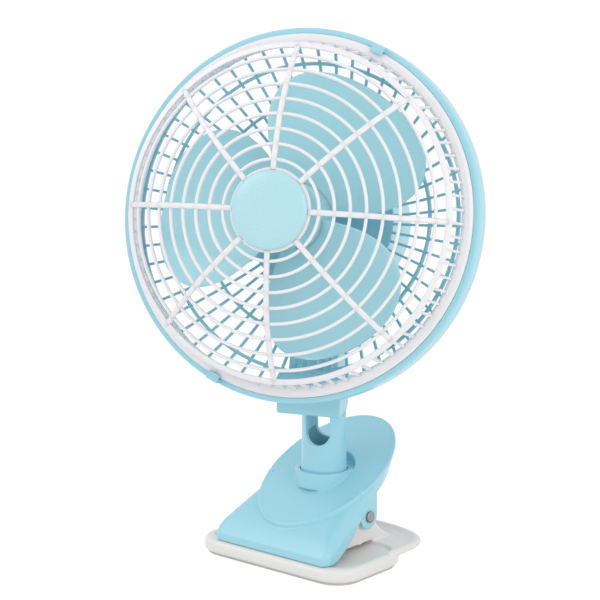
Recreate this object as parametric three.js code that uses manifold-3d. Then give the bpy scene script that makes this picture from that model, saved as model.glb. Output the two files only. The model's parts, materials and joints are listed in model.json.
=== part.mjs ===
// Clip fan of the 150 mm class: a caged head on a tilting, swivelling yoke over a sprung clamp.
// Millimetres, +Z up, clamp and fan facing -Y. The origin is under the base, below the swivel axis.
// The head's pieces are drawn in the head's own frame: x to the right, y back along the fan's axis, z up,
// with y = 0 at the front edge of the rim, and the nested groups at the end place that frame.
import * as THREE from 'three';
import * as BufferGeometryUtils from 'three/addons/utils/BufferGeometryUtils.js';
import Module from 'manifold-3d';

const wasm = await Module();
wasm.setup();

// ---------------------------------------------------------------- driving dimensions
const seatGap = 0.3;               // gap left between pieces that touch or turn on each other
const skin = 2.4;                  // wall of the moulded clamp shells
const overrun = 1;                 // how far a cutting body runs past the face that it cuts
const sink = 0.5;                  // how far a joined body runs into the one that carries it

// rest pose
const swivelRest = 20.2;           // degrees, head turned towards +X
const tiltRest = 12.2;             // degrees, head tipped up

// lower jaw
const padThickness = 1.5;
const plateHalfWidth = 53;
const plateFront = -50;
const plateRear = 10;
const plateCorner = 16;
const plateTop = 8.7;
const plateRound = 2.2;
const tongueStep = 0.5;            // from the plate's side to the tongue's
const tongueHalfWidth = plateHalfWidth - tongueStep;
const tongueRear = 37.5;
const tongueStart = 8;
const tongueUnderside = 6;
const tongueTop = 10;
const tongueDish = 1.2;            // depth of the finger dish
const tonguePower = 2 / 3;         // fullness of the tongue's outline
const tongueRim = [[0.6, 0.7], [2.2, 0]];   // inset and drop of the rings round its top
const tongueFoot = 2;              // inset of its underside
const dishInset = 8;

// hood, the oval plate of the upper jaw
const hoodHalfWidth = 35;
const hoodHalfLength = 42.6;
const hoodCentre = 2.9;
const hoodHeight = 44.4;           // height of the hood's plane on the swivel axis
const hoodSlope = 0.505;           // rise of that plane for each millimetre back
const hoodSkirt = 11.5;
const hoodDraft = 3;
const hoodEdge = [[0.5, 3], [0, 1.2], [0.5, 0.3], [1.6, 0]];  // inset and drop of the rings round its edge
const hoodStep = 1;                // the oval stands this much proud of the toe
const hoodInnerEdge = 0.4;         // extra wall under the rounded edge

// toe, the wide front of the upper jaw
const toeSetback = 2.5;            // behind the plate's front edge
const toeFront = plateFront + toeSetback;
const toeHalfWidth = 41;
const toeRootInset = 1;
const toeRootHalfWidth = hoodHalfWidth - toeRootInset;
const toeRoot = -10;
const toeLip = 4.5;
const toeFaceSlope = 1.15;
const toeFaceShare = 0.6;          // how far back the inside of the sloping face is read, in walls
const toeArchStart = -40;
const toeArchEnd = 2;
const toeArchPower = 1.5;
const toeShoulder = 8;
const toeShoulderShare = 0.55;     // largest shoulder, as a share of the section's height
const toeLeastShoulder = 0.4;
const toeCornerLength = 3;
const toeCornerInset = 2.6;
const toeDip = 4;                  // how far the hollow runs below the toe's edge
const toeStationSteps = [0, 1.5, 4, 8.5, 15, 23, 33, 50];
const stationSpread = 0.01;        // keeps the hollow's first stations apart

// gripping faces
const soleThickness = 2;
const soleInset = 4;
const soleHalfWidth = toeHalfWidth - soleInset;
const soleSetback = 2;
const soleFront = toeFront + soleSetback;
const gripThickness = 1.4;
const gripRecess = 0.8;
const gripInset = 4;
const gripHalfWidth = soleHalfWidth - gripInset;
const gripSetback = 0.5;
const gripFront = soleFront + gripSetback;
const gripDepth = 14;
const gripRear = gripFront + gripDepth;
const soleBehind = 2;
const soleRear = gripRear + soleBehind;

// hinge of the jaws
const pinY = -1.5;
const pinHeight = 25.2;
const pinRadius = 2;
const pinHeadRadius = 3.2;
const pinHeadThickness = 1.3;
const pinTail = 2;                 // the pin's end beyond its clip's inner face
const clipThickness = 1.2;
const lugOuter = 30.2;             // outer face of the lower jaw's hinge lugs
const lugThickness = 3.2;
const lugRadius = 6.4;
const earThickness = 3;
const earRadius = 7;
const gussetFront = -25;
const gussetRear = 27;
const gussetReach = 12;            // from the pin to where the gussets flatten out
const gussetRise = 3;
const saddleRise = 4.3;
const saddleTop = plateTop + saddleRise;

// torsion spring
const springWire = 1.1;            // wire radius
const springPlay = 0.6;            // between the coil and the pin
const springRadius = pinRadius + springPlay + springWire;
const springPitch = 3.4;
const springTurns = 8;
const stepsPerTurn = 8;
const wireSides = 5;
const springUpperReach = 26;       // where the legs end, behind the swivel axis
const springLowerReach = 27;

// yoke and its fixings
const yokeFootRadius = 13;
const yokeRadius = 12.2;
const yokeWall = 2.8;
const yokeBore = yokeRadius - yokeWall;
const yokeFootEdge = 0.8;
const collarWall = 3.2;
const collarRadius = yokeFootRadius + collarWall;
const collarRise = 2.6;            // above the hood's plane on the swivel axis
const collarTop = hoodHeight + collarRise;
const collarRoom = 1;
const collarPocket = collarRadius + collarRoom;
const socketDepth = 2.5;
const bossDepth = 6.5;             // thickness of the boss under the yoke's seat
const yokeTaper = 13;
const yokeTaperTop = collarTop + yokeTaper;
const slotHalfWidth = 6.8;
const slotStart = 2;
const slotFloor = yokeTaperTop + slotStart;
const slotDepth = 23.7;            // from the slot's floor to the tilt pivot
const pivotHeight = slotFloor + slotDepth;
const spotFaceRadius = 8.2;
const spotFaceDepth = 1.6;
const spotFaceX = yokeRadius - spotFaceDepth;
const swivelScrewRadius = 2;
const swivelScrewTail = 2;
const swivelHeadRadius = 4.2;
const swivelHeadHeight = 2.6;
const driverSlot = 1;              // width and depth of the slots in the two large screws' heads
const washerRadius = 6.5;
const washerThickness = 1;
const nutAcrossFlats = 7;
const nutThickness = 3.2;
const tiltBoltRadius = 2;
const tiltBoltTail = 0.6;
const tiltHeadRadius = 4;
const tiltHeadThickness = 2.4;

// motor case, along the fan's axis
const plateFaceDepth = 39.7;       // rim's front edge to the rear face of the rear guard's plate
const housingFront = plateFaceDepth + seatGap;
const housingDepth = 22;
const housingSplit = housingFront + housingDepth;
const coverDepth = 26;
const coverRear = housingSplit + coverDepth;
const housingRadius = 38;
const housingEdge = 3;
const housingWall = 2.2;
const housingFillet = 2;
const coverRound = 6;
const coverInner = coverRear - housingWall;
const ventCount = 8;
const ventInner = 17;
const ventOuter = 26;
const ventWidth = 3;
const coverVentAngles = [210, 240, 270, 300, 330];   // degrees
const screwRadius = 1.5;
const screwHeadRadius = 3;
const screwHeadHeight = 1.7;
const screwLength = 8;
const screwSlotWidth = 0.8;
const screwSeat = 3;               // depth of a cover screw's seat behind the case's joint
const drillDepth = 4;
const postInset = 7;
const postCircle = housingRadius - postInset;
const postRadius = 3.6;

// place of the fan's axis over the tilt pivot, with the neck, chin and knuckle between them
const pivotBehind = 4.5;
const pivotBack = housingSplit + pivotBehind;
const axisRise = 97;
const neckHalfWidth = 14;
const neckSetback = 4;
const neckFront = housingFront + neckSetback;
const neckTop = 4;                 // how far the neck runs up into the case
const grooveRadius = 1.1;
const groovePitch = 4.6;
const grooveCount = 5;
const grooveSides = 8;
const chinHalfWidth = 18;
const chinAbove = 15;
const chinBelow = 4;
const chinTop = chinAbove - axisRise;
const chinBottom = -axisRise - chinBelow;
const chinLip = 4.5;               // the chin's front edge hangs this far below the rest of it
const chinLipEnds = [5, 10];       // where that lip starts to rise and where it ends
const chinRound = 3;
const chinChamfer = 4;
const reliefRoom = 1;
const reliefRadius = yokeRadius + reliefRoom;
const knuckleRadius = 8;
const webSetback = 8;
const webInset = 2;
const webFoot = [-0.8, -0.6];      // where the web meets the knuckle, in knuckle radii from the pivot
const webHead = [0.95, 0.3];

// shaft, bearings and motor
const shaftRadius = 2;
const shaftTail = 8;
const shaftRear = coverRear - shaftTail;
const bearingRadius = 6;
const bearingLength = 5.4;
const bearingSetback = 1;         // a bearing ends this far inside its boss
const bearingWall = 2.6;
const bearingBossRadius = bearingRadius + bearingWall;
const statorRadius = postCircle - postRadius - seatGap;
const rotorRadius = 12;
const airGap = 0.4;
const statorBore = rotorRadius + airGap;
const statorSetback = 7.5;
const statorFront = housingFront + statorSetback;
const statorLength = 14;
const windingStep = 2.6;
const windingInner = statorBore + windingStep;
const windingInset = 3.1;
const windingOuter = statorRadius - windingInset;
const windingEdge = 1;
const windingLength = 4;

// blade wheel
const bladeTip = 76;
const bladeCount = 3;
const bladeRestAngle = 58;         // degrees
const lobeCentre = 42;
const lobeSpan = 57;               // degrees, half a lobe's width at its root
const lobePower = 0.25;            // how square the lobe's outline is
const lobeTipHalf = 12;            // degrees, half the flat at the lobe's tip
const bladePitch = -19.5;          // degrees at the middle of a lobe, its anticlockwise edge forward
const pitchEase = 0.47;
const bladeCamber = 2;
const bladeThickness = 1.8;
const bladeRows = 7;
const bladeColumns = 7;
const wheelHubRadius = 17;
const wheelHubFront = -10;
const wheelHubRear = 12;
const wheelHubWall = 2;
const wheelHubEdge = 3;
const wheelSleeveRadius = 5.5;
const lockNutRadius = 8;
const lockNutLength = 8;
const shaftReach = 5;              // of the shaft into the nut
const shaftFront = wheelHubFront - shaftReach;
const lockNutShoulder = 3;
const lockNutCrown = [0.75, 0.8];  // share of the radius, and depth, of the ring round the nut's crown

// rim and rear guard
const cageRoom = 22;               // from the blades' sweep to the outside of the rim
const rimOuter = bladeTip + cageRoom;
const rimWall = 3;
const rimInner = rimOuter - rimWall;
const rimDepth = 13.7;
const rimEdge = 1;
const rimLip = [0.8, 0.4];         // rounding of the rim's front edge, outside and inside
const rimSeat = 1.8;               // step that the front guard's flange rests on
const rimSeatInner = rimInner - rimSeat;
const rimWeb = 1.2;
const rimWebInner = rimSeatInner - rimWeb;
const rearRibs = 56;
const rearRibWidth = 2;
const rearThickness = 2.4;
const rearRingShares = [0.44, 0.8];       // places of the two rings between the plate and the rim
const rearRingWidth = 2;
const plateBorder = 3;
const bowlRadius = housingRadius + plateBorder;
const bowlPower = 1.5;
const wheelSleeveRear = plateFaceDepth - rearThickness - seatGap;
const middleRoom = 3;
const middleHole = wheelSleeveRadius + middleRoom;
const guardScrewInset = 8;
const guardScrewCircle = housingRadius - guardScrewInset;
const guardScrewAngles = [90, 210, 330]; // degrees

// front guard
const flangeRoom = 0.4;
const flangeOuter = rimInner - flangeRoom;
const flangeWidth = 4.8;
const flangeInner = flangeOuter - flangeWidth;
const flangeProud = 1.9;
const flangeBack = 1.8;
const flangeLip = 1.4;
const sideLean = 1.3;
const outerRingOuter = flangeInner - sideLean;
const outerRingWidth = 3.4;
const outerRingInner = outerRingOuter - outerRingWidth;
const outerRingFace = [1.4, 1.6];  // the outermost ring's inner edge, ahead of and behind its outer edge
const outerRingBack = [1.8, 2.4];  // its rear corner, inwards and backwards
const guardCrown = 41;
const guardDrop = 24.5;
const guardPower = 2.8;
const outerRingDepth = guardCrown - guardDrop;
const hubRadius = 22;
const ringWidth = 1.6;
const guardRings = 8;
const hubBorder = 3.7;
const firstRing = hubRadius + hubBorder;
const ringPitch = (outerRingOuter - firstRing) / guardRings;
const guardThickness = 2;
const guardSpokes = 8;
const spokeWidth = 3;
const cellsBetweenSpokes = 3;
const discSetback = [0.2, 0.1];    // the hub disc's faces, inside those of the rings
const sideRibs = 80;
const sideRibWidth = 1.5;
const capInset = 1.8;
const capRadius = hubRadius - capInset;
const capSide = 0.8;
const capRise = 3.4;

// clips on the rim over the front guard's flange
const tabAngles = [66, 246];       // degrees
const tabWidth = 6.5;
const tabOverlap = 1.6;
const tabReach = flangeOuter - tabOverlap;
const tabThickness = 1.3;
const tabPlay = 0.4;

// switch and cord inlet
const sliderTravel = 8;
const sliderWidth = 7;
const sliderLength = 9;
const sliderProud = 3;
const sliderHeight = 20;           // above the fan's axis
const sliderFlange = 2;
const sliderFlangeThickness = 1.2;
const gripPitch = 2.4;             // between the finger grooves
const gripGroove = [1, 0.8];       // width and depth of a finger groove
const glandRadius = 4.5;
const glandFlangeRadius = 6.2;
const glandFlangeThickness = 1.6;
const glandBore = 2.6;
const glandProud = 6;
const glandSetback = 14;
const glandY = coverRear - glandSetback;

// facets round a circle
const coarse = 8;                  // screws and bores
const fine = 12;                   // pins, bushes and small bosses
const medium = 20;                 // motor
const round = 24;                  // yoke, collar and blade wheel
const broad = 32;                  // housing, hub, cap and hood

// points along other curves
const tongueSteps = 16;
const cornerSteps = 3;             // the toe's shoulders and the cap's edge
const coverSteps = 4;              // the cover's edge, the chin and flat plates
const archSteps = 8;
const slotSteps = 6;
const ventSteps = 2;

// ---------------------------------------------------------------- helpers
const radians = THREE.MathUtils.degToRad;

// six times the signed volume, negative when the faces look inwards
function signedVolume(geometry) {
  const p = geometry.getAttribute('position');
  const index = geometry.getIndex();
  const a = new THREE.Vector3();
  const b = new THREE.Vector3();
  const c = new THREE.Vector3();
  let sum = 0;
  for (let i = 0; i < index.count; i += 3) {
    a.fromBufferAttribute(p, index.getX(i));
    b.fromBufferAttribute(p, index.getX(i + 1));
    c.fromBufferAttribute(p, index.getX(i + 2));
    sum += a.dot(b.cross(c));
  }
  return sum;
}

// a closed body from any closed geometry, with its faces turned outwards
function body(geometry) {
  let g = geometry.clone();
  g.deleteAttribute('normal');
  g.deleteAttribute('uv');
  g = BufferGeometryUtils.mergeVertices(g, 1e-4);
  const index = Array.from(g.getIndex().array);
  if (signedVolume(g) < 0) {
    for (let i = 0; i < index.length; i += 3) {
      [index[i], index[i + 1]] = [index[i + 1], index[i]];
    }
  }
  return new wasm.Manifold(new wasm.Mesh({
    numProp: 3,
    vertProperties: new Float32Array(g.getAttribute('position').array),
    triVerts: new Uint32Array(index),
  }));
}

function joined(...bodies) {
  return bodies.reduce((sum, next) => sum.add(next));
}

function cut(from, ...tools) {
  return tools.reduce((rest, tool) => rest.subtract(tool), from);
}

function geometryOf(solid) {
  const mesh = solid.getMesh();
  const geometry = new THREE.BufferGeometry();
  geometry.setAttribute('position', new THREE.BufferAttribute(new Float32Array(mesh.vertProperties), 3));
  geometry.setIndex(new THREE.BufferAttribute(new Uint32Array(mesh.triVerts), 1));
  const flat = geometry.toNonIndexed();
  flat.computeVertexNormals();
  return flat;
}

// closed outline [radius, along] turned about the Y axis; points on the axis close it too
function turned(outline, segments) {
  const points = outline.map(([r, along]) => new THREE.Vector2(r, along));
  const onAxis = outline[0][0] === 0 && outline[outline.length - 1][0] === 0;
  if (!onAxis) points.push(points[0].clone());
  return body(new THREE.LatheGeometry(points, segments));
}

// rod or tube along Y, between two depths
function rodY(radius, from, to, x = 0, z = 0, segments = fine) {
  const g = new THREE.CylinderGeometry(radius, radius, to - from, segments);
  g.translate(x, (from + to) / 2, z);
  return body(g);
}

function rodZ(radius, from, to, x = 0, y = 0, segments = fine) {
  const g = new THREE.CylinderGeometry(radius, radius, to - from, segments);
  g.rotateX(Math.PI / 2);
  g.translate(x, y, (from + to) / 2);
  return body(g);
}

function rodX(radius, from, to, y = 0, z = 0, segments = fine) {
  const g = new THREE.CylinderGeometry(radius, radius, to - from, segments);
  g.rotateZ(Math.PI / 2);
  g.translate((from + to) / 2, y, z);
  return body(g);
}

function block(x0, x1, y0, y1, z0, z1) {
  const g = new THREE.BoxGeometry(x1 - x0, y1 - y0, z1 - z0);
  g.translate((x0 + x1) / 2, (y0 + y1) / 2, (z0 + z1) / 2);
  return body(g);
}

// outline in plan, raised from one height to another, its edges rounded by bevels
function raised(shape, bottom, top, edge = 0, curveSegments = coverSteps) {
  const g = new THREE.ExtrudeGeometry(shape, {
    depth: top - bottom - 2 * edge,
    bevelEnabled: edge > 0,
    bevelThickness: edge,
    bevelSize: edge,
    bevelOffset: -edge,
    bevelSegments: 1,
    curveSegments,
  });
  g.translate(0, 0, bottom + edge);
  return body(g);
}

// side view (y, z) drawn out along X
function drawnAcross(shape, x0, x1, curveSegments = slotSteps) {
  const g = new THREE.ExtrudeGeometry(shape, { depth: x1 - x0, bevelEnabled: false, curveSegments });
  g.applyMatrix4(new THREE.Matrix4().makeBasis(
    new THREE.Vector3(0, 1, 0),
    new THREE.Vector3(0, 0, 1),
    new THREE.Vector3(1, 0, 0),
  ));
  g.translate(x0, 0, 0);
  return body(g);
}

// front view (x, z) drawn back along Y
function drawnBack(shape, y0, y1, curveSegments = archSteps) {
  const g = new THREE.ExtrudeGeometry(shape, { depth: y1 - y0, bevelEnabled: false, curveSegments });
  g.rotateX(Math.PI / 2);
  g.translate(0, y1, 0);
  return body(g);
}

// convex rings of equal count, skinned in order and closed at both ends
function lofted(rings) {
  const count = rings[0].length;
  const positions = rings.flat().flatMap((p) => [p.x, p.y, p.z]);
  const index = [];
  for (let k = 0; k + 1 < rings.length; k += 1) {
    for (let i = 0; i < count; i += 1) {
      const a = k * count + i;
      const b = k * count + ((i + 1) % count);
      index.push(a, b, b + count, a, b + count, a + count);
    }
  }
  const last = (rings.length - 1) * count;
  for (let i = 1; i + 1 < count; i += 1) {
    index.push(0, i + 1, i);
    index.push(last, last + i, last + i + 1);
  }
  const g = new THREE.BufferGeometry();
  g.setAttribute('position', new THREE.Float32BufferAttribute(positions, 3));
  g.setIndex(index);
  return body(g);
}

// a turned wall with openings: columns of cells round the Y axis, crossed by rows between stations.
// Each station has an outside and an inside point [radius, along]; filled(column, row) says what is there.
function pierced(columns, angleAt, stations, filled) {
  const rows = stations.length;
  const positions = [];
  for (let i = 0; i < columns; i += 1) {
    for (const station of stations) {
      for (const [r, along] of station) {
        const angle = angleAt(i, r);
        positions.push(r * Math.cos(angle), along, r * Math.sin(angle));
      }
    }
  }
  const at = (i, j, side) => (((i + columns) % columns) * rows + j) * 2 + side;
  const solidAt = (i, j) => j >= 0 && j < rows - 1 && filled((i + columns) % columns, j);
  const index = [];
  const quad = (a, b, c, d) => index.push(a, b, c, a, c, d);
  for (let i = 0; i < columns; i += 1) {
    for (let j = 0; j < rows - 1; j += 1) {
      if (!solidAt(i, j)) continue;
      const outside = [at(i, j, 0), at(i + 1, j, 0), at(i + 1, j + 1, 0), at(i, j + 1, 0)];
      const inside = [at(i, j, 1), at(i + 1, j, 1), at(i + 1, j + 1, 1), at(i, j + 1, 1)];
      const [a, b, c, d] = outside;
      const [e, f, g, h] = inside;
      quad(a, b, c, d);
      quad(h, g, f, e);
      if (!solidAt(i - 1, j)) quad(a, d, h, e);
      if (!solidAt(i, j - 1)) quad(b, a, e, f);
      if (!solidAt(i + 1, j)) quad(c, b, f, g);
      if (!solidAt(i, j + 1)) quad(d, c, g, h);
    }
  }
  const g = new THREE.BufferGeometry();
  g.setAttribute('position', new THREE.Float32BufferAttribute(positions, 3));
  g.setIndex(index);
  return body(unusedDropped(g));
}

// geometry without the points that no face uses
function unusedDropped(geometry) {
  const p = geometry.getAttribute('position');
  const index = geometry.getIndex().array;
  const kept = new Map();
  const positions = [];
  const next = Array.from(index, (v) => {
    if (!kept.has(v)) {
      kept.set(v, kept.size);
      positions.push(p.getX(v), p.getY(v), p.getZ(v));
    }
    return kept.get(v);
  });
  const g = new THREE.BufferGeometry();
  g.setAttribute('position', new THREE.Float32BufferAttribute(positions, 3));
  g.setIndex(next);
  return g;
}

// the point at this angle on the fan's face, radius r from the axis
function onFace(r, degrees) {
  return [r * Math.cos(radians(degrees)), r * Math.sin(radians(degrees))];
}

function moulded(color, roughness) {
  return new THREE.MeshStandardMaterial({ color, roughness, metalness: 0 });
}

function metal(color, roughness) {
  return new THREE.MeshStandardMaterial({ color, roughness, metalness: 1 });
}

const aqua = () => moulded(0x9fd3e0, 0.38);
const paleAqua = () => moulded(0xb4dce6, 0.35);
const white = () => moulded(0xe9e8ec, 0.4);
const offWhite = () => moulded(0xdedbd8, 0.45);
const rubber = () => moulded(0x8a8d8f, 0.85);
const steel = () => metal(0xa6a8aa, 0.35);

function piece(name, solid, material) {
  const mesh = new THREE.Mesh(geometryOf(solid), material);
  mesh.name = name;
  return mesh;
}

// ---------------------------------------------------------------- clamp
function platePlan(inset) {
  const w = plateHalfWidth - inset;
  const front = plateFront + inset;
  const rear = plateRear - inset;
  const c = plateCorner - inset;
  const shape = new THREE.Shape();
  shape.moveTo(-w + c, front);
  shape.lineTo(w - c, front);
  shape.absarc(w - c, front + c, c, -Math.PI / 2, 0, false);
  shape.lineTo(w, rear - c);
  shape.absarc(w - c, rear - c, c, 0, Math.PI / 2, false);
  shape.lineTo(-w + c, rear);
  shape.absarc(-w + c, rear - c, c, Math.PI / 2, Math.PI, false);
  shape.lineTo(-w, front + c);
  shape.absarc(-w + c, front + c, c, Math.PI, Math.PI * 1.5, false);
  return shape;
}

// rounded tongue behind the plate, with a shallow dish for the fingers
function tongueRing(inset, height, sag = 0) {
  const steps = tongueSteps;
  const ring = [];
  for (let i = 0; i <= steps; i += 1) {
    const t = (Math.PI * i) / steps;
    const x = Math.sign(Math.cos(t)) * Math.abs(Math.cos(t)) ** tonguePower;
    const y = Math.sin(t) ** tonguePower;
    const reach = tongueRear - tongueStart - inset;
    ring.push(new THREE.Vector3(x * (tongueHalfWidth - inset), tongueStart + y * reach, height - sag * y));
  }
  ring.push(new THREE.Vector3(-(tongueHalfWidth - inset), inset - tongueStart, height));
  ring.push(new THREE.Vector3(tongueHalfWidth - inset, inset - tongueStart, height));
  return ring;
}

function gussetShape() {
  const shape = new THREE.Shape();
  shape.moveTo(gussetFront, plateTop - overrun);
  shape.quadraticCurveTo(pinY - gussetReach, plateTop + gussetRise, pinY - lugRadius, pinHeight);
  shape.absarc(pinY, pinHeight, lugRadius, Math.PI, 0, true);
  shape.quadraticCurveTo(pinY + gussetReach, tongueTop + gussetRise, gussetRear, tongueUnderside + overrun);
  shape.lineTo(gussetFront, tongueUnderside + overrun);
  return shape;
}

function saddleShape() {
  const shape = new THREE.Shape();
  shape.moveTo(gussetFront, plateTop - overrun);
  shape.quadraticCurveTo(pinY - gussetReach, saddleTop, pinY, saddleTop);
  shape.quadraticCurveTo(pinY + gussetReach, saddleTop, gussetRear, tongueUnderside + overrun);
  shape.lineTo(gussetFront, tongueUnderside + overrun);
  return shape;
}

function lowerJaw() {
  const plate = raised(platePlan(0), padThickness, plateTop, plateRound);
  const hollow = raised(platePlan(skin + plateRound), padThickness - overrun, plateTop - skin);
  const tongue = lofted([
    tongueRing(tongueFoot, tongueUnderside),
    tongueRing(0, (tongueUnderside + tongueTop) / 2),
    ...tongueRim.map(([inset, drop]) => tongueRing(inset, tongueTop - drop)),
    tongueRing(dishInset, tongueTop - tongueDish),
  ]);
  const lugInner = lugOuter - lugThickness;
  const lugs = joined(
    drawnAcross(gussetShape(), lugInner, lugOuter),
    drawnAcross(gussetShape(), -lugOuter, -lugInner),
    drawnAcross(saddleShape(), -lugInner - overrun, lugInner + overrun),
  );
  const recess = block(
    -gripHalfWidth - seatGap,
    gripHalfWidth + seatGap,
    gripFront - seatGap,
    gripRear + seatGap,
    plateTop - gripRecess,
    plateTop + overrun,
  );
  const bore = rodX(pinRadius + seatGap, -lugOuter - overrun, lugOuter + overrun, pinY, pinHeight);
  return cut(joined(cut(plate, hollow), tongue, lugs), recess, bore);
}

function basePad() {
  return raised(platePlan(plateRound), 0, padThickness);
}

const lowerGripTop = plateTop - gripRecess + gripThickness;

function lowerGripPad() {
  const bottom = plateTop - gripRecess;
  return block(-gripHalfWidth, gripHalfWidth, gripFront, gripRear, bottom, lowerGripTop);
}

const soleUnderside = lowerGripTop + seatGap + gripThickness;

function upperGripPad() {
  const bottom = lowerGripTop + seatGap;
  return block(-gripHalfWidth, gripHalfWidth, gripFront, gripRear, bottom, soleUnderside);
}

function hoodPlane(y) {
  return hoodHeight + hoodSlope * y;
}

function hoodRing(inset, drop, steps = broad) {
  const ring = [];
  for (let i = 0; i < steps; i += 1) {
    const t = (2 * Math.PI * i) / steps;
    const y = hoodCentre + (hoodHalfLength - inset) * Math.sin(t);
    ring.push(new THREE.Vector3((hoodHalfWidth - inset) * Math.cos(t), y, hoodPlane(y) - drop));
  }
  return ring;
}

function toeWidthAt(y) {
  const share = THREE.MathUtils.clamp((toeRoot - y) / (toeRoot - toeFront), 0, 1);
  const corner = THREE.MathUtils.clamp(1 - (y - toeFront) / toeCornerLength, 0, 1);
  const width = toeRootHalfWidth + (toeHalfWidth - toeRootHalfWidth) * share;
  return width - toeCornerInset * corner * corner;
}

function toeTopAt(y) {
  const face = plateTop + seatGap + toeLip + toeFaceSlope * (y - toeFront);
  return Math.min(face, hoodPlane(y) - hoodStep);
}

function toeEdgeAt(y) {
  const share = THREE.MathUtils.clamp((y - toeArchStart) / (toeArchEnd - toeArchStart), 0, 1);
  const low = plateTop + seatGap;
  const high = hoodPlane(toeArchEnd) - hoodSkirt;
  return low + (high - low) * share ** toeArchPower;
}

// cross-section of the toe at one y, its shoulders rounded
function toeSection(y, wall, dip) {
  const w = toeWidthAt(y) - wall;
  const top = toeTopAt(y + wall * toeFaceShare) - wall;
  const edge = toeEdgeAt(y) - dip;
  const r = Math.max(toeLeastShoulder, Math.min(toeShoulder - wall, (top - edge) * toeShoulderShare));
  const steps = cornerSteps;
  const ring = [new THREE.Vector3(-w, y, edge)];
  for (let i = 0; i <= steps; i += 1) {
    const t = (Math.PI / 2) * (i / steps);
    ring.push(new THREE.Vector3(-w + r - r * Math.cos(t), y, top - r + r * Math.sin(t)));
  }
  for (let i = steps; i >= 0; i -= 1) {
    const t = (Math.PI / 2) * (i / steps);
    ring.push(new THREE.Vector3(w - r + r * Math.cos(t), y, top - r + r * Math.sin(t)));
  }
  ring.push(new THREE.Vector3(w, y, edge));
  return ring;
}

const toeStations = toeStationSteps.map((step) => toeFront + step);

function upperJaw() {
  const hood = lofted([
    hoodRing(hoodDraft, hoodSkirt),
    ...hoodEdge.map(([inset, drop]) => hoodRing(inset, drop)),
  ]);
  const toe = lofted(toeStations.map((y) => toeSection(y, 0, 0)));
  const hoodHollow = lofted([
    hoodRing(hoodDraft + skin, hoodSkirt + overrun),
    hoodRing(skin + hoodInnerEdge, skin + overrun),
    hoodRing(skin + overrun, skin),
  ]);
  const hollowStart = (y) => Math.max(y, toeFront + skin + stationSpread * (y - toeFront));
  const toeHollow = lofted(toeStations.map((y) => toeSection(hollowStart(y), skin, toeDip)));
  const shell = cut(joined(hood, toe), hoodHollow, toeHollow);
  const soleTop = soleUnderside + soleThickness;
  const sole = block(-soleHalfWidth, soleHalfWidth, soleFront, soleRear, soleUnderside, soleTop);
  const seat = collarTop - socketDepth;
  const boss = rodZ(collarRadius, seat - bossDepth, collarTop, 0, 0, round);
  const cup = rodZ(collarPocket + skin, collarTop - skin, hoodPlane(hoodHalfLength), 0, 0, round);
  const earInner = lugOuter + seatGap;
  const earTop = hoodPlane(pinY) - skin;
  const earReach = earInner + earThickness + overrun;
  const ears = [1, -1].map((side) => {
    const x0 = side > 0 ? earInner : -earInner - earThickness;
    const eye = rodX(earRadius, x0, x0 + earThickness, pinY, pinHeight);
    const web = block(x0, x0 + earThickness, pinY - earRadius, pinY + earRadius, pinHeight, earTop);
    return joined(eye, web);
  });
  return cut(
    joined(shell, sole, boss, hood.intersect(cup), ...ears),
    rodZ(collarPocket, collarTop, hoodPlane(hoodHalfLength), 0, 0, round),
    rodZ(yokeFootRadius + seatGap, seat, hoodPlane(hoodHalfLength), 0, 0, round),
    rodZ(swivelScrewRadius + seatGap, seat - bossDepth - overrun, seat + overrun, 0, 0, coarse),
    rodX(pinRadius + seatGap, -earReach, earReach, pinY, pinHeight),
  );
}

const earOuter = lugOuter + seatGap + earThickness;

function hingePin() {
  const face = earOuter + seatGap;
  const shank = rodX(pinRadius, -face - pinTail, face + sink, pinY, pinHeight);
  const head = rodX(pinHeadRadius, face, face + pinHeadThickness, pinY, pinHeight);
  return joined(shank, head);
}

function hingeClip() {
  const outer = -earOuter - seatGap;
  const inner = outer - clipThickness;
  const ring = rodX(pinHeadRadius, inner, outer, pinY, pinHeight);
  return cut(ring, rodX(pinRadius + seatGap, inner - overrun, outer + overrun, pinY, pinHeight));
}

// direction and length of a leg that leaves the coil on a tangent and ends at (y, z)
function tangentLeg(y, z, side) {
  const away = Math.hypot(y - pinY, z - pinHeight);
  return {
    angle: Math.atan2(z - pinHeight, y - pinY) + side * Math.asin(springRadius / away),
    length: Math.sqrt(away * away - springRadius * springRadius),
  };
}

// centre line of the torsion spring: two straight legs on a helix round the pin
function springPath() {
  const upperTip = hoodPlane(springUpperReach) - skin - springWire - seatGap;
  const upper = tangentLeg(springUpperReach, upperTip, 1);
  const lower = tangentLeg(springLowerReach, tongueTop + springWire + seatGap, -1);
  const start = upper.angle - Math.PI / 2;
  const end = lower.angle + Math.PI / 2 - 2 * Math.PI * springTurns;
  const steps = Math.round((stepsPerTurn * (start - end)) / (2 * Math.PI));
  const onCoil = (t) => new THREE.Vector3(
    springPitch * ((start - t) / (2 * Math.PI) - (start - end) / (4 * Math.PI)),
    pinY + springRadius * Math.cos(t),
    pinHeight + springRadius * Math.sin(t),
  );
  const coil = Array.from({ length: steps + 1 }, (_, i) => onCoil(start + ((end - start) * i) / steps));
  const tip = (from, leg) => new THREE.Vector3(
    from.x,
    from.y + leg.length * Math.cos(leg.angle),
    from.z + leg.length * Math.sin(leg.angle),
  );
  return [tip(coil[0], upper), ...coil, tip(coil[coil.length - 1], lower)];
}

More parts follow.
